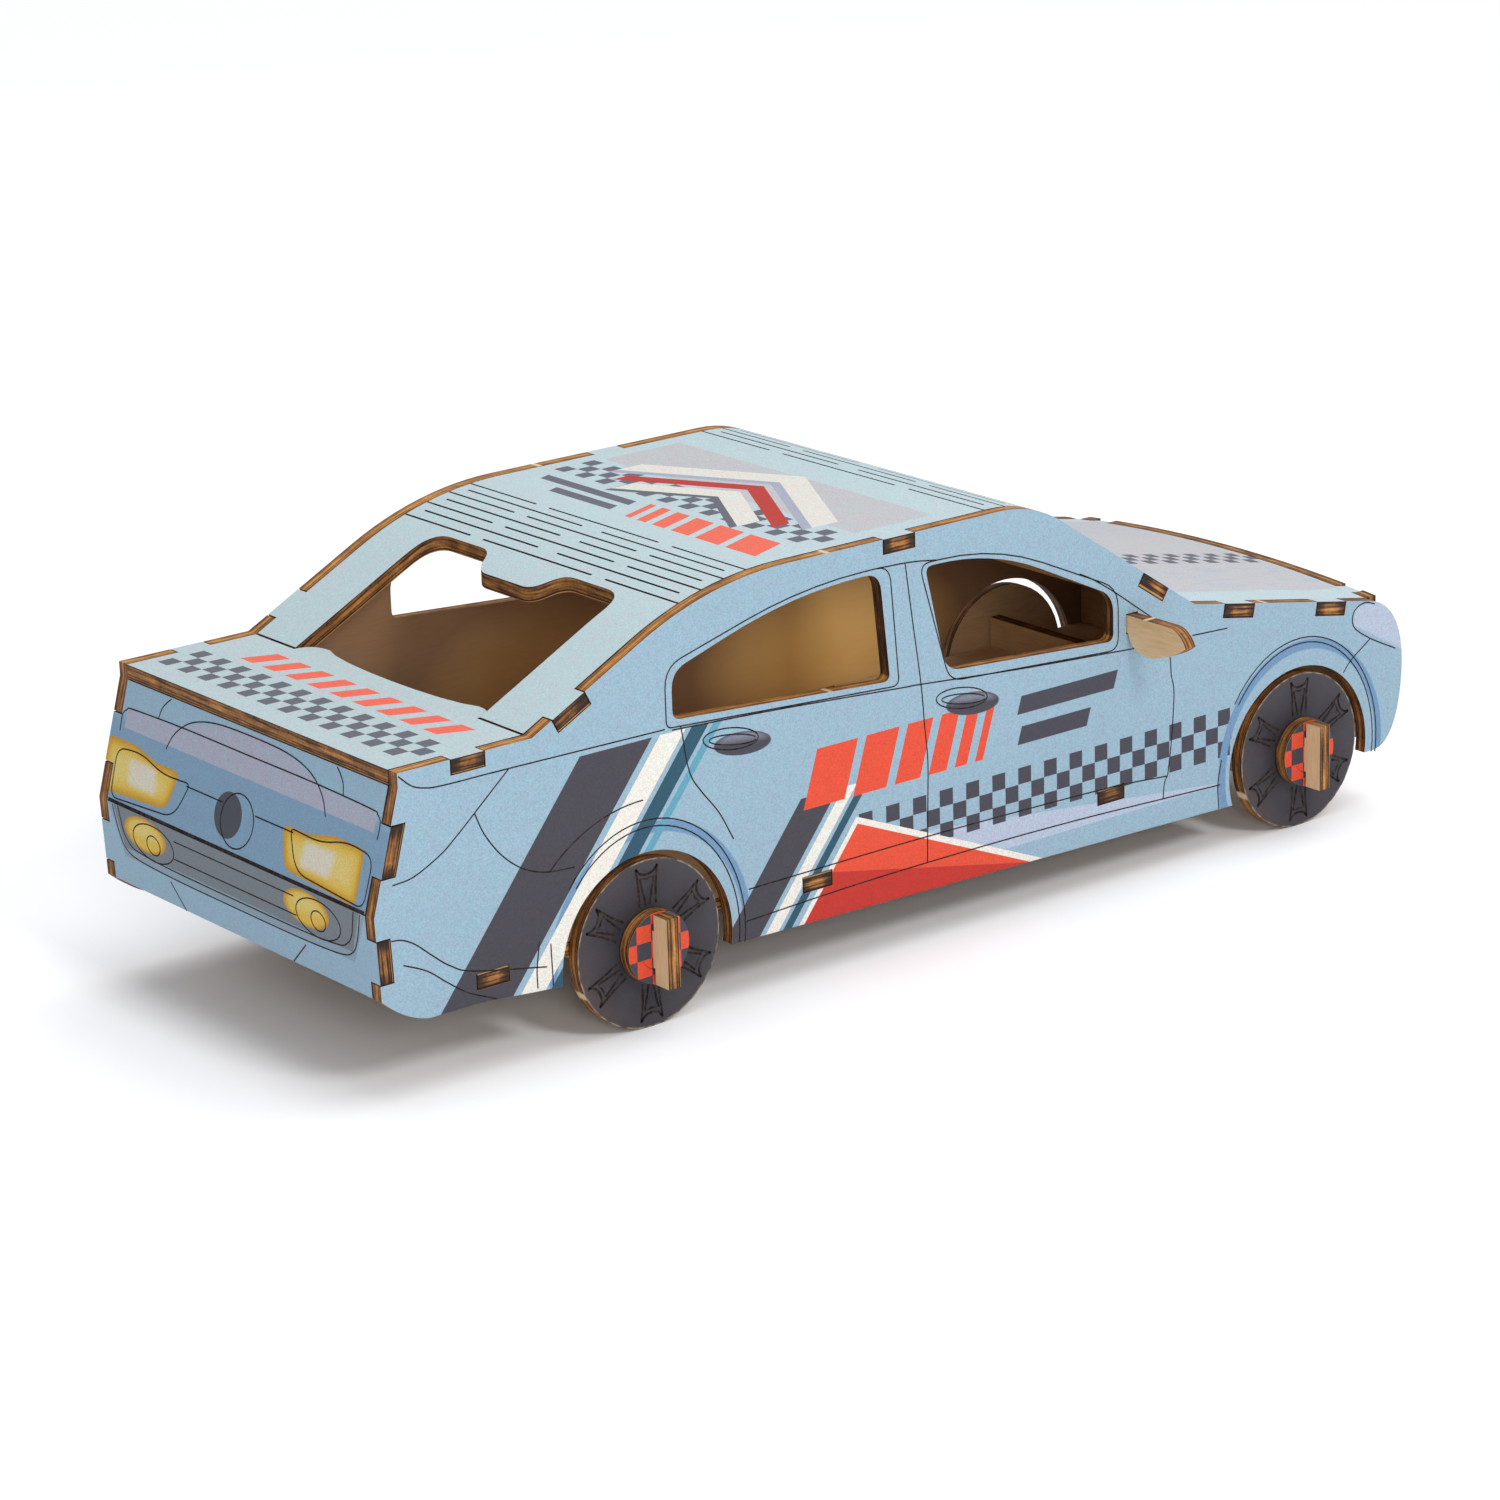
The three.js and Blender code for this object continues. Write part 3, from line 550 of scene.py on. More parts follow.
deck = {
    "top": 67.5, "tabs": ((-121.9, -114.1),),
    "band": (-128.8, -117.4), "bandHalf": 45.6, "check": 3.8,
    "dashStart": -38, "dashStep": 8.4, "dashShare": 0.58, "dashLast": 8.7,
    "dashMiddle": -111, "dashLean": 0.05, "dashSpan": (-114.8, -107.4),
}


def deckPaint(s):
    x, y = s.x, s.y
    band = bar(x, abs(y), *deck["band"], -1, deck["bandHalf"])
    grid = checks(x - deck["band"][0], y + deck["bandHalf"], deck["check"])
    colour = lay(inks["deckBlue"], grid * band, inks["deckCheck"])
    run = (y - deck["dashStart"]) / deck["dashStep"] + (x - deck["dashMiddle"]) * deck["dashLean"]
    dash = run.rest().below(deck["dashShare"], 0.01) * run.within(0.01, deck["dashLast"], 0.01)
    return lay(colour, dash * x.within(*deck["dashSpan"]), inks["coral"])


hood = {
    "fall": 10.6, "crown": 2.4, "half": 48.3, "depthScale": 0.98,
    "tabs": ((85.6, 94.4), (114.3, 123.1)),
    "brush": 0.5, "brushAlong": 0.12, "fieldHalf": 43.0, "field": (80.0, 133.0), "stroke": (0.56, 0.64),
    "strokeFrom": 20, "band": (79.0, 141.0), "bandSpan": (7.4, 17.0), "check": 3.2,
}


def hoodDepth(s):
    flat = (s.x - roof["cowlX"]) * -math.tan(math.radians(hood["fall"])) + roof["cowl"]
    return (flat + hood["crown"] - (s.y / hood["half"]) ** 2 * hood["crown"] - s.z) * hood["depthScale"]


def hoodPaint(s):
    x, y = s.x, abs(s.y)
    stripe = s.y * -1
    brush = noise(s.place, hood["brush"], (hood["brushAlong"], 1, 1), 3.0)
    field = (y + brush * 3.0).below(hood["fieldHalf"], 0.5) * (x + brush * 2).within(*hood["field"], 0.5)
    colour = lay(inks["paleBlue"], field, inks["hoodGrey"])
    stroke = brush.within(*hood["stroke"], 0.04) * y.above(hood["strokeFrom"], 6) * field
    colour = lay(colour, stroke * 0.5, inks["lavender"])
    band = bar(x, stripe, *hood["band"], *hood["bandSpan"])
    grid = checks(x - hood["band"][0], stripe - hood["bandSpan"][0], hood["check"])
    return lay(colour, grid * band, inks["deckCheck"])


def topMaterials():
    sheet = Sheet("roof_print", (0, 0, 1), roofDepth)
    # the walls of the roof slits get painted shade
    slits = sheet.x.above(roof["slitsFrom"], 1) * abs(sheet.y).below(roof["slitsHalf"], 1)
    sootAndShade = slits.either(tabEnds(sheet, sheet.x, roof["tabs"]))
    dress(["roof_panel"], sheet.finish(roofPaint(sheet), 0, sootAndShade=sootAndShade))
    sheet = Sheet("deck_print", (0, 0, 1), lambda s: deck["top"] - s.z)
    sootAndShade = tabEnds(sheet, sheet.x, deck["tabs"])
    dress(["boot_deck"], sheet.finish(deckPaint(sheet), 1, sootAndShade=sootAndShade))
    sheet = Sheet("hood_print", (0, 0, 1), hoodDepth)
    sootAndShade = tabEnds(sheet, sheet.x, hood["tabs"])
    dress(["hood"], sheet.finish(hoodPaint(sheet), 0, sootAndShade=sootAndShade))


# tail and front sheets

tail = {
    "seam": (-141.6, 39.4), "top": (-134.5, 64.5), "foot": (-140.9, 22.0),   # x and z
    "lidTabs": ((47.0, 57.0),), "bumperTabs": ((25.6, 34.4),),
    "printShift": 3.6,                  # the lamps are printed to the left of their outlines
    "lidFace": (-1, 0, 0.25),
}
lid = {
    "skyFrom": 57.0, "skyBlur": 3.0, "band": (54.8, 58.9), "bandHalf": 46.5,
    "bulgeTop": 63.4, "bulgeFall": 0.0062, "bulgeHalf": 30,
    "badge": (3.5, 46.6), "badgeReach": (5.0, 4.6),
}
lamp = {
    "lift": {-1: 0.1, 1: 1.2},          # right and left
    "top": 49.4, "wave": 33, "waveRun": 9, "waveRise": 1.7,
    "heel": 19.6, "heelLean": 0.36, "heelSquare": 0.94,
    "foot": 41.2, "footFrom": 22, "footFall": 0.05, "outer": 48.2, "round": 3.2,
    "glass": (28.0, 38.5), "glassSpan": (43.0, 48.0), "glassMiddle": 46, "glassLean": 0.2,
}
bumper = {
    "leanFrom": 30, "lipHalf": 44.0, "lipLean": 0.45, "lipFoot": 28.2,
    "greyHalf": 42.8, "greyLean": 0.35, "greyFoot": 30.2,
    "fog": (30.4, 35.0), "fogReach": (8.2, 3.8), "fogPale": 34.4,
}


def tailDepth(a, b):
    steep = (b[0] - a[0]) / (b[1] - a[1])
    return lambda s: (s.x - a[0] - (s.z - a[1]) * steep) / math.hypot(1, steep)


def lidPaint(s):
    y, z, across = s.y, s.z, abs(s.y)
    colour = lay(inks["tailBlue"], z.above(lid["skyFrom"], lid["skyBlur"]), inks["tailSky"])
    bulge = (z + across * across * lid["bulgeFall"]).below(lid["bulgeTop"])
    bulge = bulge * z.above(lid["band"][0]) * across.below(lid["bulgeHalf"])
    band = z.within(*lid["band"]).either(bulge) * across.below(lid["bandHalf"])
    colour = lay(colour, band, inks["lidLavender"])
    # lamps: amber rim, yellow body, pale glass
    for sign, lift in lamp["lift"].items():
        a = (y - tail["printShift"]) * sign
        h = z - lift
        over = a.above(lamp["wave"], lamp["waveRun"]) * lamp["waveRise"] + lamp["top"] - h
        heel = (a - lamp["heel"] - (lamp["top"] - h) * lamp["heelLean"]) * lamp["heelSquare"]
        foot = h - lamp["foot"] + (a - lamp["footFrom"]) * lamp["footFall"]
        inside = over
        for limit in (foot, heel, lamp["outer"] - a):
            inside = inside.blend(limit, lamp["round"])
        colour = lay(colour, inside.above(0), inks["lampAmber"])
        colour = lay(colour, inside.above(0.9, 1.4), inks["lampYellow"])
        colour = lay(colour, inside.above(2.6, 2.4) * 0.8, inks["lampPale"])
        glass = (a - (h - lamp["glassMiddle"]) * lamp["glassLean"]).within(*lamp["glass"], 2.0)
        glass = glass * h.within(*lamp["glassSpan"], 1.4)
        colour = lay(colour, glass * inside.above(0), inks["lampGlass"])
    return lay(colour, ellipse(y, z, lid["badge"], lid["badgeReach"]), inks["badge"])


def bumperPaint(s):
    z, across = s.z, abs(s.y)
    rise = z - bumper["leanFrom"]
    lip = (across - rise * bumper["lipLean"]).below(bumper["lipHalf"]) * z.above(bumper["lipFoot"])
    colour = lay(inks["tailSky"], lip, inks["bumperLip"])
    grey = (across - rise * bumper["greyLean"]).below(bumper["greyHalf"]) * z.above(bumper["greyFoot"])
    colour = lay(colour, grey, inks["bumperGrey"])
    u = (abs(s.y - tail["printShift"]) - bumper["fog"][0]) / bumper["fogReach"][0]
    v = (z - bumper["fog"][1]) / bumper["fogReach"][1]
    away = u ** 2 + v ** 2
    colour = lay(colour, away.below(1, 0.06), inks["lampAmber"])
    colour = lay(colour, away.below(0.75, 0.3), inks["lampYellow"])
    return lay(colour, away.below(0.45, 0.5) * z.above(bumper["fogPale"], 2) * 0.7, inks["lampPale"])


front = {
    "grilleHalf": 22, "grille": (31.0, 41.5),
    "slat": 2.6, "slatShare": 0.45, "slatHalf": 20.6, "slats": (32, 40.6),
    "lamp": (27.5, 44.5), "lampSpan": (33.5, 42.5), "lampFoot": 33, "lampLean": 0.5, "amberTop": 36,
    "glass": (33, 40), "glassSpan": (36.5, 41), "intakeHalf": 34, "intake": (24.5, 28.5),
}


def frontPaint(s):
    z, across = s.z, abs(s.y)
    grille = across.below(front["grilleHalf"]) * z.within(*front["grille"])
    colour = lay(inks["sky"], grille, inks["bumperGrey"])
    slat = (z / front["slat"]).rest().below(front["slatShare"], 0.02)
    slat = grille * slat * across.below(front["slatHalf"]) * z.within(*front["slats"])
    colour = lay(colour, slat, inks["check"])
    body = (across - (z - front["lampFoot"]) * front["lampLean"]).within(*front["lamp"])
    body = body * z.within(*front["lampSpan"])
    colour = lay(colour, body, inks["lampYellow"])
    colour = lay(colour, body * z.below(front["amberTop"], 1.4), inks["lampAmber"])
    glass = body * across.within(*front["glass"], 2) * z.within(*front["glassSpan"], 1)
    colour = lay(colour, glass, inks["lampGlass"])
    intake = across.below(front["intakeHalf"]) * z.within(*front["intake"])
    return lay(colour, intake, inks["bumperGrey"])


def endMaterials():
    sheet = Sheet("lid_print", tail["lidFace"], tailDepth(tail["seam"], tail["top"]))
    sootAndShade = tabEnds(sheet, sheet.z, tail["lidTabs"])
    dress(["rear_upper_panel"], sheet.finish(lidPaint(sheet), 1, sootAndShade=sootAndShade))
    sheet = Sheet("bumper_print", (-1, 0, 0), tailDepth(tail["seam"], tail["foot"]))
    sootAndShade = tabEnds(sheet, sheet.z, tail["bumperTabs"])
    dress(["rear_lower_panel"], sheet.finish(bumperPaint(sheet), 1, sootAndShade=sootAndShade))
    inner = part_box("front_fascia")[0].x / mm
    sheet = Sheet("front_print", (1, 0, 0), lambda s: s.x - inner)
    dress(["front_fascia"], sheet.finish(frontPaint(sheet), 1))


# wheels and bare pieces

wheelJoints = {j["child"]: Vector(j["pos_m"]) / mm for j in frame["joints"]}
stations = {
    "rear_right": ("rear_right_wheel", -1), "rear_left": ("rear_left_wheel", 1),
    "front_right": ("front_right_wheel", -1), "front_left": ("front_left_wheel", 1),
}
wheel = {
    "radius": 18.0, "check": 3.7, "nickTurn": 205, "nickHalf": 0.05,   # mm, degrees and radians
    "spokes": 6, "gloomTo": 12.5, "gloomBlur": 7.0, "raySpan": (8, 16), "patchiness": 0.5,
    "scorchWay": (0.8, 0.6), "scorchFrom": -14.5, "paleRimWidth": 0.3,
}


def yReach(name):
    # inner and outer distance of a piece from the middle of the car, mm
    ends = sorted(abs(corner.y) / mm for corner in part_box(name))
    return ends[0], ends[1]


def wheelPaint(sheet, u, v):
    out = (u * u + v * v) ** 0.5
    turn = u.sums("ARCTAN2", v, u)
    ray = turn.sums("COSINE", turn * wheel["spokes"] + math.pi)
    patchiness = noise(sheet.place, wheel["patchiness"])
    # painted shade round the hub and painted shadows along the spokes, with soot
    rays = (ray * 0.5 + 0.5) * out.within(*wheel["raySpan"], 3) * 0.6 * patchiness.above(0.42, 0.5)
    gloom = out.below(wheel["gloomTo"], wheel["gloomBlur"]) * 0.5 + rays
    printed = lay(inks["tyre"], gloom, inks["sootAndShade"])
    lean, rise = wheel["scorchWay"]
    scorch = (u * lean + v * rise).below(wheel["scorchFrom"], 5.0) * patchiness.above(0.42, 0.3)
    printed = lay(printed, scorch * 0.1, wood["brown"])
    # a pale ring along the rim
    paleRim = out.above(wheel["radius"] - wheel["paleRimWidth"], 0.15) * patchiness.above(0.5, 0.2)
    printed = lay(printed, paleRim * 0.32, wood["pale"])
    nick = (turn - math.radians(wheel["nickTurn"] - 360)).within(-wheel["nickHalf"], wheel["nickHalf"], 0.03)
    return printed, nick


def wheelMaterials():
    for place, (body, sign) in stations.items():
        centre = wheelJoints[body]
        inner = yReach("wheel_" + place)[0]
        sheet = Sheet("wheel_print_" + place, (0, sign, 0), lambda s: s.y * sign - inner)
        printed, nick = wheelPaint(sheet, sheet.x - centre.x, sheet.z - centre.z)
        dress(["wheel_" + place], sheet.finish(printed, 0, nick))
        inner = yReach("hub_" + place)[0]
        sheet = Sheet("hub_print_" + place, (0, sign, 0), lambda s: s.y * sign - inner)
        half = wheel["check"] / 2
        grid = checks(sheet.x - centre.x + half, sheet.z - centre.z + half, wheel["check"])
        dress(["hub_" + place], sheet.finish(lay(inks["orange"], grid, inks["check"]), 0))


collar = {"radius": 4.5, "thick": 0.8, "inset": 0.05, "sides": 48}


def makeCollars():
    # a printed disc on each fixed pin fills the bore of its hub
    for place, (body, sign) in stations.items():
        centre = wheelJoints[body]
        face = sign * yReach("hub_" + place)[1]
        n = collar["sides"]
        turns = [2 * math.pi * i / n for i in range(n)]
        rim = [Vector((math.cos(t), math.sin(t))) * collar["radius"] for t in turns]
        verts = [Vector((centre.x + p.x, face - sign * depth, centre.z + p.y)) * mm
                 for depth in (collar["inset"], collar["thick"]) for p in rim]
        faces = [tuple(range(n)), tuple(range(2 * n - 1, n - 1, -1))]
        faces += [(i, n + i, n + (i + 1) % n, (i + 1) % n) for i in range(n)]
        mesh = bpy.data.meshes.new("pin_collar_" + place)
        mesh.from_pydata(verts, [], faces)
        mesh.materials.append(nodes["hub_" + place].data.materials[0])
        piece = bpy.data.objects.new("pin_collar_" + place, mesh)
        bpy.context.scene.collection.objects.link(piece)
        tidyNormals(mesh)
        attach(piece, "body")


floorTabs = ((-118.2, -110.8), (-35.5, -28.1), (47.3, 54.7))
mirrorNick = (56.6, 57.6)


def bareMaterials():
    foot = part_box("floor_plate")[0].z / mm
    sheet = Sheet("bare_floor", (0, 0, 1), lambda s: s.z - foot)
    sootAndShade = tabEnds(sheet, sheet.x, floorTabs)
    dress(["floor_plate"], sheet.finish(None, 0, sootAndShade=sootAndShade, back=wood["under"]))
    for place in ("rear", "front"):
        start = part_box(place + "_axle_beam")[0].x / mm
        sheet = Sheet(f"bare_beam_{place}", (1, 0, 0), lambda s: s.x - start)
        dress([place + "_axle_beam"], sheet.finish(None, 1))
        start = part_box(f"axle_pin_{place}_right")[0].x / mm
        sheet = Sheet(f"bare_pin_{place}", (1, 0, 0), lambda s: s.x - start)
        dress([f"axle_pin_{place}_right", f"axle_pin_{place}_left"], sheet.finish(None, 2))
    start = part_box("mirror_right")[0].x / mm
    sheet = Sheet("bare_mirror", (1, 0, 0), lambda s: s.x - start)
    nick = abs(sheet.y).within(*mirrorNick, 0.3)
    dress(["mirror_right", "mirror_left"], sheet.finish(None, 1, nick))


sideMaterials()
topMaterials()
endMaterials()
wheelMaterials()
bareMaterials()
print("finishes on all sheets")


# engraved lines: thin burnt strips, sunk in the sheet

cutLine = {
    "width": 0.29, "seamWidth": 0.6, "spokeWidth": 0.52, "proud": 0.03, "sunk": 0.12, "steps": 6,
    "blot": 900, "dark": "#171211", "light": "#43362f", "rough": 0.8, "shine": 0.15,
}


def lineInk():
    material = bpy.data.materials.new("burnt_line")
    material.use_nodes = True
    shader = material.node_tree.nodes["Principled BSDF"]
    start = Ink(material.node_tree, None)
    place = start.make("TexCoord", out="Object")
    blot = noise(place, cutLine["blot"])
    stops = [(0.40, tone(cutLine["dark"])), (0.80, tone(cutLine["light"]))]
    colour = blot.make("ValToRGB", {"stops": stops}, {0: blot})
    material.node_tree.links.new(colour.socket, shader.inputs["Base Color"])
    shader.inputs["Roughness"].default_value = cutLine["rough"]
    shader.inputs["Specular IOR Level"].default_value = cutLine["shine"]
    return material


burnt = lineInk()


def smoothLine(points, steps=cutLine["steps"]):
    # a curve through every point
    pts = [Vector(p) for p in points]
    ends = [pts[0] * 2 - pts[1], *pts, pts[-1] * 2 - pts[-2]]
    line = []
    for a, b, c, d in zip(ends, ends[1:], ends[2:], ends[3:]):
        for i in range(steps):
            t = i / steps
            line.append(0.5 * (2 * b + (c - a) * t + (2 * a - 5 * b + 4 * c - d) * t * t
                               + (3 * b - a - 3 * c + d) * t ** 3))
    return line + [pts[-1]]


def arcLine(centre, reach, start, end, steps=28):
    turns = [math.radians(start + (end - start) * i / steps) for i in range(steps + 1)]
    ring = [(reach[0] * math.cos(t), reach[1] * math.sin(t)) for t in turns]
    return [Vector((centre[0] + u, centre[1] + v)) for u, v in ring]


def roundedLoop(corners, steps=5):
    # a closed line with rounded corners: x, y and the reach of each rounding
    line = []
    for i, (x, y, reach) in enumerate(corners):
        here = Vector((x, y))
        before, after = Vector(corners[i - 1][:2]), Vector(corners[(i + 1) % len(corners)][:2])
        a = here + (before - here).normalized() * reach
        b = here + (after - here).normalized() * reach
        line += [a.lerp(here, t / steps).lerp(here.lerp(b, t / steps), t / steps) for t in range(steps + 1)]
    return line + [line[0]]


def mirrored(line):
    return [Vector((-p.x, p.y)) for p in line]


def stripMesh(name, lines, onto, outward, body, width=cutLine["width"]):
    verts, faces = [], []
    lift, sink = outward * cutLine["proud"], outward * -cutLine["sunk"]
    for line in lines:
        base = len(verts)
        ring = (line[0] - line[-1]).length < 0.001
        points = line[:-1] if ring else line
        count = len(points)
        for i, p in enumerate(points):
            before = points[i - 1] if ring else points[max(0, i - 1)]
            after = points[(i + 1) % count] if ring else points[min(count - 1, i + 1)]
            way = (after - before).normalized()
            aside = Vector((-way.y, way.x)) * (width / 2)
            left, right = onto(p + aside), onto(p - aside)
            verts += [left + lift, right + lift, right + sink, left + sink]
        for i in range(count if ring else count - 1):
            a, b = base + 4 * i, base + 4 * ((i + 1) % count)
            faces += [(a + k, a + (k + 1) % 4, b + (k + 1) % 4, b + k) for k in range(4)]
        if not ring:
            last = base + 4 * (count - 1)
            faces += [(base + 3, base + 2, base + 1, base), (last, last + 1, last + 2, last + 3)]
    mesh = bpy.data.meshes.new(name)
    mesh.from_pydata([v * mm for v in verts], [], faces)
    mesh.validate()
    mesh.materials.append(burnt)
    piece = bpy.data.objects.new(name, mesh)
    bpy.context.scene.collection.objects.link(piece)
    tidyNormals(mesh)
    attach(piece, body)


def tidyNormals(mesh):
    work = bmesh.new()
    work.from_mesh(mesh)
    bmesh.ops.recalc_face_normals(work, faces=work.faces)
    work.to_mesh(mesh)
    work.free()


sideLines = {
    "belt": [(-134.3, 66.8), (-131.4, 64.3), (-128.5, 63.2), (-124, 62.7), (-108.5, 62.6), (-70, 62.1)],
    "sweep": [(-108.4, 62.6), (-117, 55.4), (-121.5, 51.7), (-125.5, 48.8), (-132, 45.8), (-137, 45.2)],
    "scoop": [(-117, 55.2), (-115, 50.6), (-111.4, 45.6), (-107, 41.8), (-102.5, 39.7), (-98.5, 38.9),
              (-93.6, 38.6)],
    "bumper": [(-138, 34), (-135.5, 33.6), (-132.5, 32), (-128.5, 28.6), (-124.5, 25.5), (-119, 23),
               (-101.5, 19.4)],
    "skirt": [(-135.5, 28.4), (-130, 25.8), (-125.5, 22.3), (-120.5, 18.8), (-114, 15.9)],
    "rearDoor": [(-66, 61.9), (-65.4, 58.4), (-64.8, 54.3), (-63.6, 50.4), (-61, 46.6), (-57, 41.5),
                 (-53.5, 35)],
    "header": [(-14, 84.6), (-5, 84.2), (2, 83.3)],
    "post": [(-6.4, 84.3), (-4.7, 71.7), (-2.7, 57.4), (-1.9, 47.9), (-1.2, 40), (-1.4, 31), (-1.8, 17.6)],
    "waist": [(-68.2, 61.6), (-40.5, 60.0), (-8.6, 57.6), (-2.7, 57.2), (24, 54.8), (51.5, 52.8), (61, 52.2)],
    "frontDoor": [(65.8, 55.6), (67.6, 51.5), (68.8, 47.8), (69.1, 44), (69.9, 40.3), (69.6, 33.9),
                  (68.9, 27), (68, 21.2)],
    "doorFoot": [(-50, 23.2), (-5.8, 23.3), (31.7, 22.7), (54, 22), (68, 20.9)],
    "doorHeel": [(68, 21.2), (67, 19.4), (66.6, 15.9)],
    "sill": [(-50.8, 16.4), (-20, 17.3), (12.6, 17.4), (41.3, 16.9), (66.5, 15.9), (84, 15.2)],
    "fender": [(75.5, 51.7), (86.1, 51.2)],
    "screenPost": [(42.3, 72.3), (46.1, 70.3), (51.7, 66.7), (58.1, 62.1), (63.2, 58.4)],
    "lamp": [(132.5, 47.4), (129.8, 48.3), (127.2, 47.9), (125.5, 46.2), (126, 43.1), (131.2, 39.5),
             (139.3, 35.5)],
    "lampTick": [(131.2, 39.5), (125, 35.6), (122.6, 33.1)],
    "heel": [(84.4, 21), (83.3, 15.4), (83.6, 9.6)],
    "tailSeam": [(-103, 25.2), (-103.9, 19.4), (-103.9, 15.4)],
    "tailSeamFront": [(-100.3, 24), (-100.1, 15)],
}
windowFrames = [
    [(-69.6, 62.2, 1.5), (-8.6, 58.2, 2.0), (-10.6, 84.6, 3.5), (-33.5, 84.6, 16), (-69.6, 75.0, 4.5)],
    [(5.2, 56.2, 3.5), (53.4, 53.0, 3), (53.4, 67.0, 4.5), (18, 83.2, 15), (-2.6, 83.2, 3)],
]
handle = {
    "places": ((-53.4, 56.5), (8.5, 51.8)), "tilt": -10, "ring": (7.2, 2.3),
    "loop": (6.2, 1.1), "loopPlace": (0.6, -0.2), "loopTurn": (20, 350),
}
archLines = {
    "start": -8,
    "front": ((0, 143), (1.2, 142)),    # inset and end of each line
    "rear": ((0, 140), (1.5, 138)),
    "outerReach": (33.4, 32.6), "outerTurn": (90, 135),
}


def handleLines(centre):
    # a tilted grip with a loop inside
    ring = arcLine((0, 0), handle["ring"], 0, 360)
    loop = arcLine(handle["loopPlace"], handle["loop"], *handle["loopTurn"])
    tilt = Matrix.Rotation(math.radians(handle["tilt"]), 2)
    return [[tilt @ p + Vector(centre) for p in line] for line in (ring, loop)]


def sideStrips():
    lines = [smoothLine(points) for points in sideLines.values()]
    lines += [roundedLoop(corners) for corners in windowFrames]
    for centre in handle["places"]:
        lines += handleLines(centre)
    rear, fore = ((x, side["archCentre"]) for x in side["arches"])
    half, tall = side["archReach"]
    for centre, arcs in ((fore, archLines["front"]), (rear, archLines["rear"])):
        for inset, end in arcs:
            lines.append(arcLine(centre, (half - inset, tall - inset), archLines["start"], end))
    lines.append(arcLine(rear, archLines["outerReach"], *archLines["outerTurn"]))
    for hand, sign in (("right", -1), ("left", 1)):
        onto = lambda p: Vector((p.x, sign * sideOut, p.y))
        stripMesh(f"door_lines_{hand}", lines, onto, Vector((0, sign, 0)), "body")


lidLines = {
    "lid": [(48, 53.8), (48, 57.1), (46.6, 58.4), (44.2, 58.9), (25, 59.3), (0, 59.3), (-25, 59.3),
            (-44.2, 58.9), (-46.6, 58.4), (-48, 57.1), (-48, 53.8)],
    "arch": [(29.8, 54), (28, 57), (25, 59.5), (21, 61.3), (15, 62.5), (7, 63), (-7, 63), (-15, 62.5),
             (-21, 61.3), (-25, 59.5), (-28, 57), (-29.8, 54)],
    "leftArc": [(34.4, 59.2), (33.7, 61.3), (32.2, 62.9), (30.8, 63.9)],
    "rightArc": [(-34.4, 59.2), (-33.7, 61.3), (-32.2, 62.9), (-30.8, 63.9)],
    "leftSeam": [(20, 48.6), (6, 48.6)],
    "rightSeam": [(-20, 48.6), (-6, 48.6)],
}
lampLoop = [
    (18.8, 49.3, 1.6), (29.5, 48.9, 4), (38.5, 51.2, 4), (47.8, 50.4, 3), (47.4, 40.3, 2.5), (22.8, 41.6, 4),
]
badgeRing = {"centre": (0, 46.2), "reach": (6.0, 5.4)}
tailSeam = {"half": 48, "rise": 0.35}
bumperLines = {
    "upper": [(22.5, 36.6), (-22.5, 36.6)],
    "lower": [(23, 32.6), (-23, 32.6)],
    "leftPlate": [(25.5, 27), (20.2, 22)],
    "rightPlate": [(-25.5, 27), (-20.2, 22)],
    "lip": [(46.4, 39.0), (45.8, 36.4), (44.6, 32.8), (42.6, 30), (38, 28.6), (24.5, 28), (0, 27.9),
            (-24.5, 28), (-38, 28.6), (-42.6, 30), (-44.6, 32.8), (-45.8, 36.4), (-46.4, 39.0)],
    "grille": [(44.2, 39.0), (43.6, 36.4), (42.8, 33.6), (41.0, 31.6), (37.5, 30.4), (24.5, 29.8), (0, 29.7),
               (-24.5, 29.8), (-37.5, 30.4), (-41.0, 31.6), (-42.8, 33.6), (-43.6, 36.4), (-44.2, 39.0)],
}
fogRings = (((31, 33.9), (8.0, 4.0)), ((31, 33.5), (2.6, 2.1)))   # centre and reach


def tailPlane(a, b):
    steep = (b[0] - a[0]) / (b[1] - a[1])
    outward = Vector((-1, 0, steep)).normalized()
    return (lambda p: Vector((a[0] + (p.y - a[1]) * steep, p.x, p.y))), outward


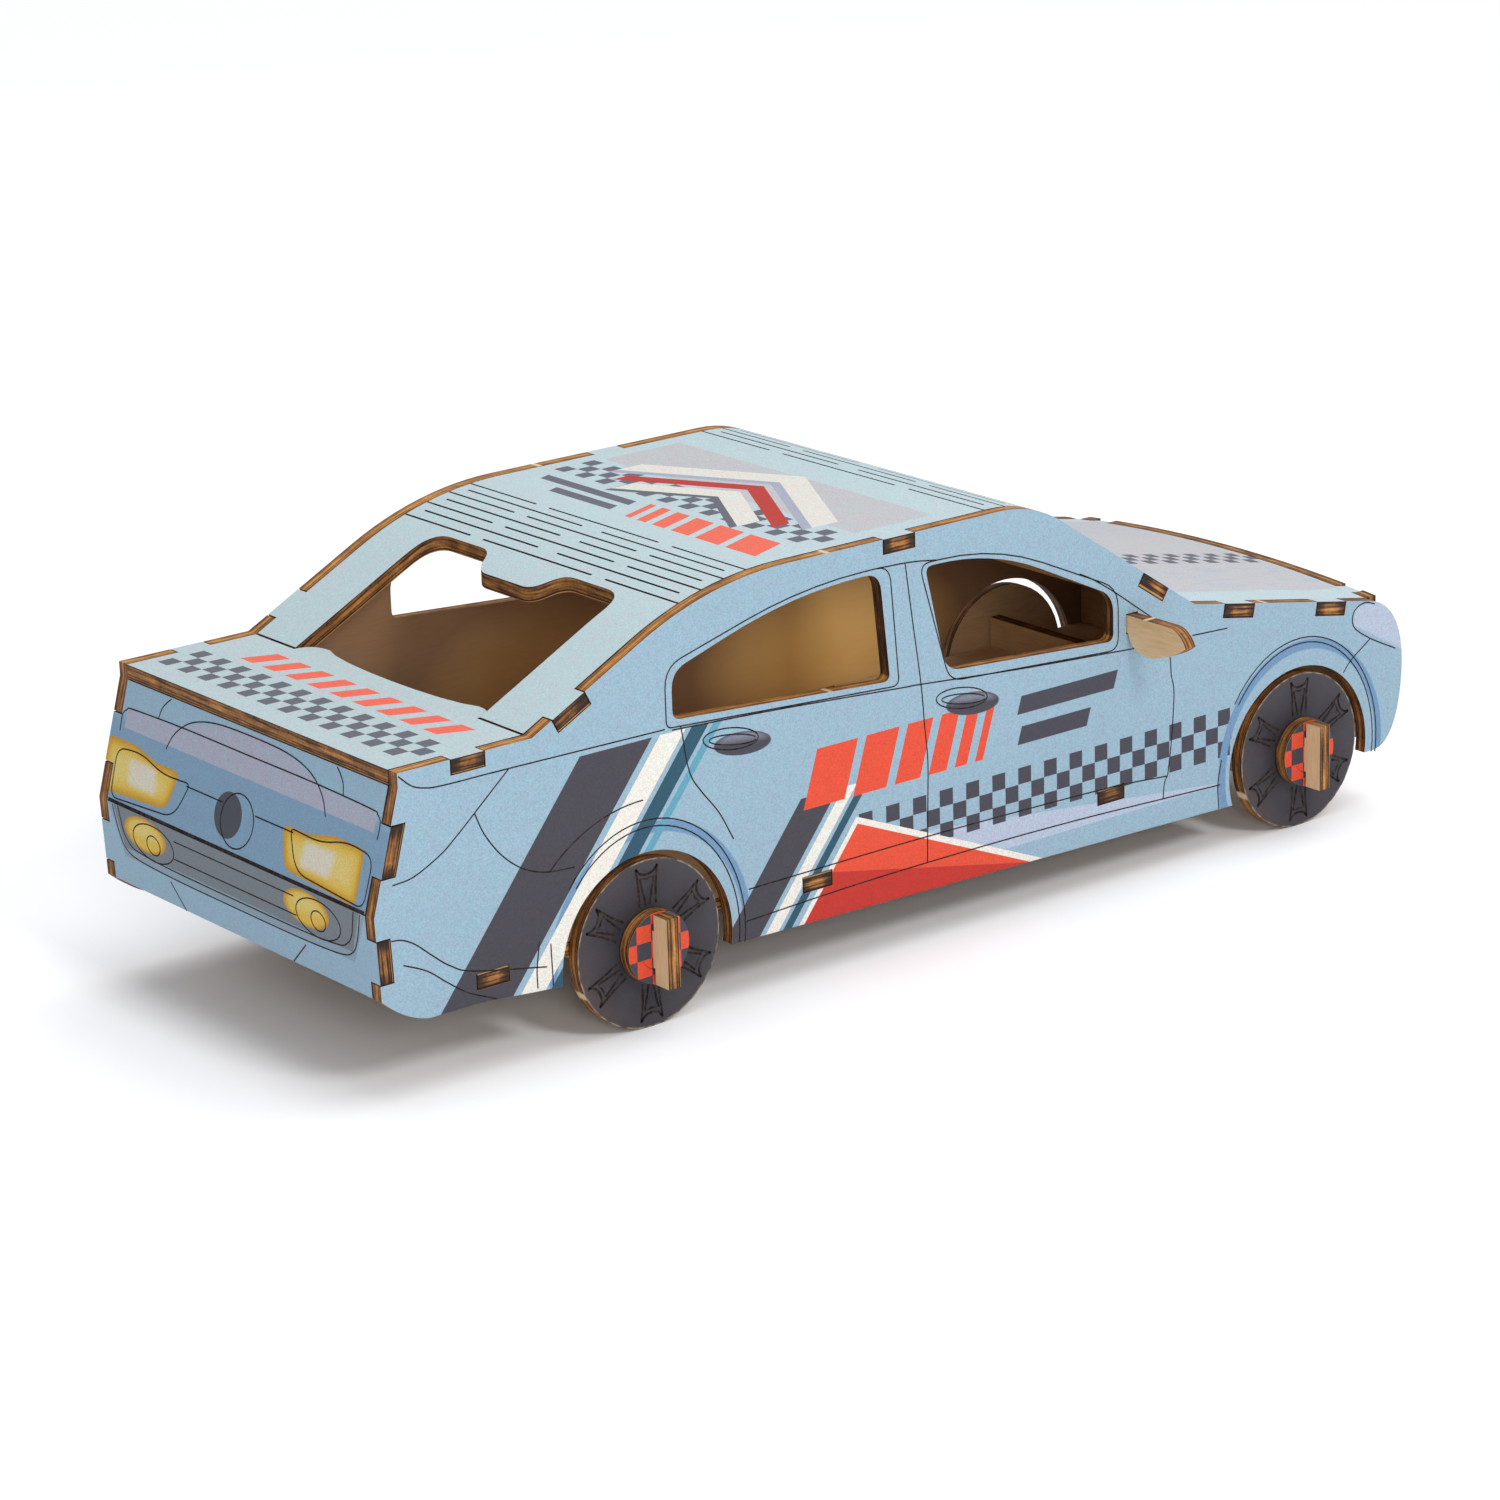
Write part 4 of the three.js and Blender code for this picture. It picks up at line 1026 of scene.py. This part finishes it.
def tailStrips():
    onto, outward = tailPlane(tail["seam"], tail["top"])
    lines = [smoothLine(points) for points in lidLines.values()]
    outline = roundedLoop(lampLoop)
    lines += [outline, mirrored(outline)]
    lines.append(arcLine(badgeRing["centre"], badgeRing["reach"], 0, 360))
    stripMesh("lid_lines", lines, onto, outward, "body")
    height = tail["seam"][1] + tailSeam["rise"]
    seam = [Vector((-tailSeam["half"], height)), Vector((tailSeam["half"], height))]
    stripMesh("tail_seam", [seam], onto, outward, "body", cutLine["seamWidth"])
    onto, outward = tailPlane(tail["seam"], tail["foot"])
    lines = [smoothLine(points) for points in bumperLines.values()]
    for sign in (-1, 1):
        for (u, v), reach in fogRings:
            lines.append(arcLine((u * sign, v), reach, 0, 360))
    stripMesh("bumper_lines", lines, onto, outward, "body")


frontLoops = {
    "lamp": [(27.6, 33, 2), (43.6, 33, 3), (47, 43, 3), (32.6, 43, 2)],
    "grille": [(-22.6, 30.4, 3), (22.6, 30.4, 3), (22.6, 42, 3), (-22.6, 42, 3)],
    "intake": [(-35, 24, 2), (35, 24, 2), (35, 29, 2), (-35, 29, 2)],
}


def frontStrips():
    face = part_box("front_fascia")[1].x / mm
    outline, grille, intake = (roundedLoop(corners) for corners in frontLoops.values())
    lines = [grille, outline, mirrored(outline), intake]
    onto = lambda p: Vector((face, p.x, p.y))
    stripMesh("front_lines", lines, onto, Vector((1, 0, 0)), "body")


spokeLines = {
    "side": [(8.3, 2.1), (12.4, 2.2), (16.5, 2.7)],
    "crown": [(16.5, 2.7), (15.3, 1.7), (14.9, 0), (15.3, -1.7), (16.5, -2.7)],
    "web": [(8.4, 0.5), (14.2, 1.75), (13.9, 0), (14.2, -1.75), (8.4, -0.5)],
}


spokeTurn = {"first": 30, "steps": 4}


def wheelStrips():
    for place, (body, sign) in stations.items():
        centre = wheelJoints[body]
        face = sign * yReach("wheel_" + place)[1]
        rib = smoothLine(spokeLines["side"], spokeTurn["steps"])
        crown = smoothLine(spokeLines["crown"], spokeTurn["steps"])
        web = [Vector(p) for p in spokeLines["web"]]
        lines = []
        for i in range(wheel["spokes"]):
            turn = Matrix.Rotation(math.radians(spokeTurn["first"] + 360 / wheel["spokes"] * i), 2)
            for line in (rib, crown, [Vector((p.x, -p.y)) for p in rib], web):
                lines.append([turn @ p for p in line])
        onto = lambda p: Vector((centre.x + p.x, face, centre.z + p.y))
        outward = Vector((0, sign, 0))
        stripMesh("spoke_lines_" + place, lines, onto, outward, body, cutLine["spokeWidth"])


makeCollars()
sideStrips()
tailStrips()
frontStrips()
wheelStrips()
print("engraved lines cut")
